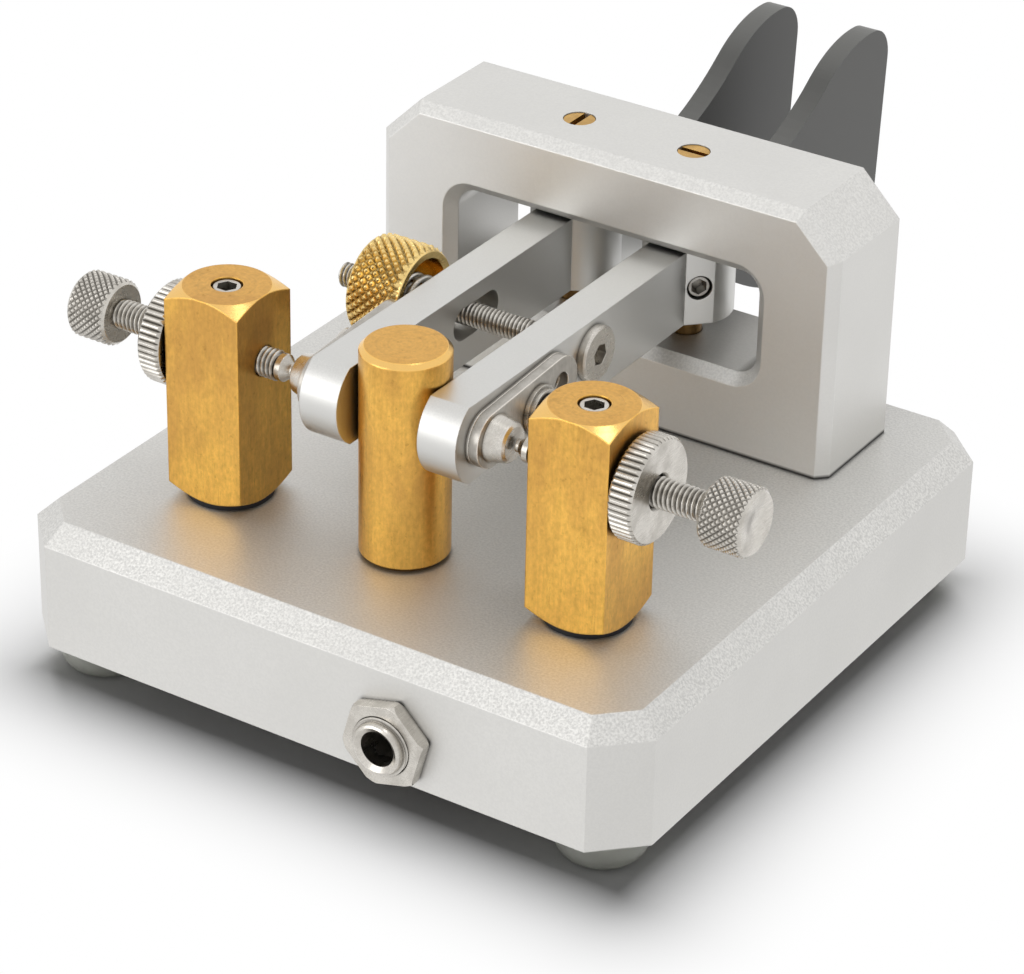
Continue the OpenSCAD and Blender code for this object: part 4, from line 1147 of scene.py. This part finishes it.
@dataclass
class CordSocket(Assembly):
    """The cord socket in the front edge."""

    thread: Thread = Thread(0.003, 0.0005, 0.4, sides=64)
    flange: float = 0.0008
    mouth_round: float = 0.00035
    thread_end: float = 0.0007
    bore_radius: float = 0.0018

    def build(self) -> None:
        """Build the threaded bushing and dress the rest."""
        self._build_bushing()
        self.dress(NICKEL, "socket_nut")
        self.dress(BLACK_PLASTIC, "socket_body")
        self.dress(SCREW_BRASS, "socket_lugs")

    def _build_bushing(self) -> None:
        """Build the bushing with its thread and its rounded mouth."""
        axis, length, flange_radius = turning(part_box("socket_bushing"), (0.0, -1.0, 0.0))
        mouth = self.thread.radius - self.mouth_round
        bushing = Turned(axis, self.thread.sides, hollow=True)
        bushing.circle(0.0, self.bore_radius)
        bushing.circle(0.0, flange_radius)
        bushing.circle(self.flange, flange_radius)
        bushing.run(self.flange, length - self.thread_end, self.thread.step, self.thread.ring)
        bushing.circle(length - self.thread_end, mouth)
        bushing.circle(length - self.mouth_round, mouth)
        bushing.circle(length - self.mouth_round / 3, mouth - self.mouth_round / 3)
        bushing.circle(length, mouth - self.mouth_round)
        bushing.circle(length - self.mouth_round, self.bore_radius)
        piece = turned_piece("socket_bushing_threaded", bushing)
        self.place(piece, "socket_bushing", NICKEL, "steel")
        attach(piece, "base")


@dataclass
class Wiring(Assembly):
    """The three wires under the base."""

    def build(self) -> None:
        """Dress each wire in its own colour."""
        self.dress(RED_WIRE, "left_wire")
        self.dress(BLUE_WIRE, "right_wire")
        self.dress(BROWN_WIRE, "ground_wire")


class LampUse(Enum):
    """What a lamp lights: only matt surfaces, or only the shine of metal."""

    MATT = "matt"
    GLOSS = "gloss"


@dataclass(frozen=True)
class SoftBox:
    """One square lamp that points at the key."""

    name: str
    place: Point
    width: float
    power: float
    use: LampUse
    target: Point = (0.0, 0.0, 0.02)

    def hang(self) -> None:
        """Put the lamp in the scene."""
        lamp = bpy.data.lights.new(self.name, "AREA")
        lamp.shape = "SQUARE"
        lamp.size = self.width
        lamp.energy = self.power
        holder = bpy.data.objects.new(self.name, lamp)
        holder.location = self.place
        holder.visible_glossy = self.use is not LampUse.MATT
        holder.visible_diffuse = self.use is not LampUse.GLOSS
        aim = Vector(self.target) - Vector(self.place)
        holder.rotation_euler = aim.to_track_quat("-Z", "Y").to_euler()
        bpy.context.scene.collection.objects.link(holder)


@dataclass
class Studio:
    """The floor, the lamps, the white surround and the camera."""

    floor_half: float = 1.5
    floor_colour: Colour = (0.93, 0.93, 0.93)
    floor_roughness: float = 0.6
    world_level: float = 0.13
    eye: Point = (0.1812, -0.29775, 0.2092)
    azimuth: float = 32.405
    elevation: float = 29.795
    roll: float = 1.186
    lens: float = 139.43
    sensor: float = 36.0
    clip_start: float = 0.01
    lamps: tuple[SoftBox, ...] = (
        SoftBox("back_lamp", (-0.19, 0.31, 0.65), 0.6, 5.0, LampUse.MATT),
        SoftBox("top_lamp", (0.13, 0.065, 0.75), 0.17, 0.28, LampUse.GLOSS),
        SoftBox("front_lamp", (-0.45, -0.75, 0.24), 0.6, 1.8, LampUse.GLOSS),
    )

    def build(self) -> None:
        """Set up the whole studio."""
        self._lay_floor()
        self._light_world()
        for lamp in self.lamps:
            lamp.hang()
        self._aim_camera()
        bpy.context.scene.view_settings.view_transform = "Standard"

    def _lay_floor(self) -> None:
        """Lay the paper that the key stands on."""
        low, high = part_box("base_plate")
        paper = FloorPaper(
            "floor_paper", self.floor_colour, self.floor_roughness, edge_round=0.0, half_width=high.x,
            half_depth=(high.y - low.y) / 2, middle_y=(high.y + low.y) / 2,
        )
        reach = self.floor_half
        mesh = bmesh.new()
        corners = ((-reach, -reach), (reach, -reach), (reach, reach), (-reach, reach))
        mesh.faces.new([mesh.verts.new((x, y, 0.0)) for x, y in corners])
        floor = finish_mesh(mesh, "floor")
        floor.data.materials.append(paper.material())

    def _light_world(self) -> None:
        """White surround for what is seen or mirrored, and a softer level for what it lights."""
        world = bpy.data.worlds.new("studio")
        bpy.context.scene.world = world
        world.use_nodes = True
        graph = Graph(world.node_tree)
        level = graph.between(graph.seen_ray(), 0.0, 1.0, self.world_level, 1.0)
        sky = graph.node("ShaderNodeBackground", {"Color": rgba(WHITE), "Strength": level})
        graph.node("ShaderNodeOutputWorld", {"Surface": graph.out(sky)})

    def _aim_camera(self) -> None:
        """Put the camera where the photograph was taken from."""
        turn = math.radians(self.azimuth)
        rise = math.radians(self.elevation)
        tilt = math.radians(self.roll)
        back = Vector((math.sin(turn) * math.cos(rise), -math.cos(turn) * math.cos(rise), math.sin(rise)))
        level_right = Vector((math.cos(turn), math.sin(turn), 0.0))
        level_up = back.cross(level_right)
        right = level_right * math.cos(tilt) + level_up * math.sin(tilt)
        up = level_up * math.cos(tilt) - level_right * math.sin(tilt)
        camera = bpy.data.cameras.new("camera")
        camera.lens = self.lens
        camera.sensor_fit = "HORIZONTAL"
        camera.sensor_width = self.sensor
        camera.clip_start = self.clip_start
        holder = bpy.data.objects.new("camera", camera)
        holder.matrix_world = Matrix.Translation(self.eye) @ Matrix((right, up, back)).transposed().to_4x4()
        bpy.context.scene.collection.objects.link(holder)
        bpy.context.scene.camera = holder


def main() -> None:
    """Load the frame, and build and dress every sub-assembly."""
    logging.basicConfig(level=logging.INFO, format="%(name)s: %(message)s")
    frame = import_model()
    nodes = frame["nodes"]
    Studio().build()
    assemblies: list[Assembly] = [Base(nodes), PivotFrame(nodes), ContactPosts(nodes)]
    for side in Side:
        assemblies += [Lever(nodes, side), ContactScrew(nodes, side)]
    assemblies += [Tension(nodes), CordSocket(nodes), Wiring(nodes)]
    for assembly in assemblies:
        log.info("building %s", type(assembly).__name__)
        assembly.build()


if __name__ == "__main__":
    main()
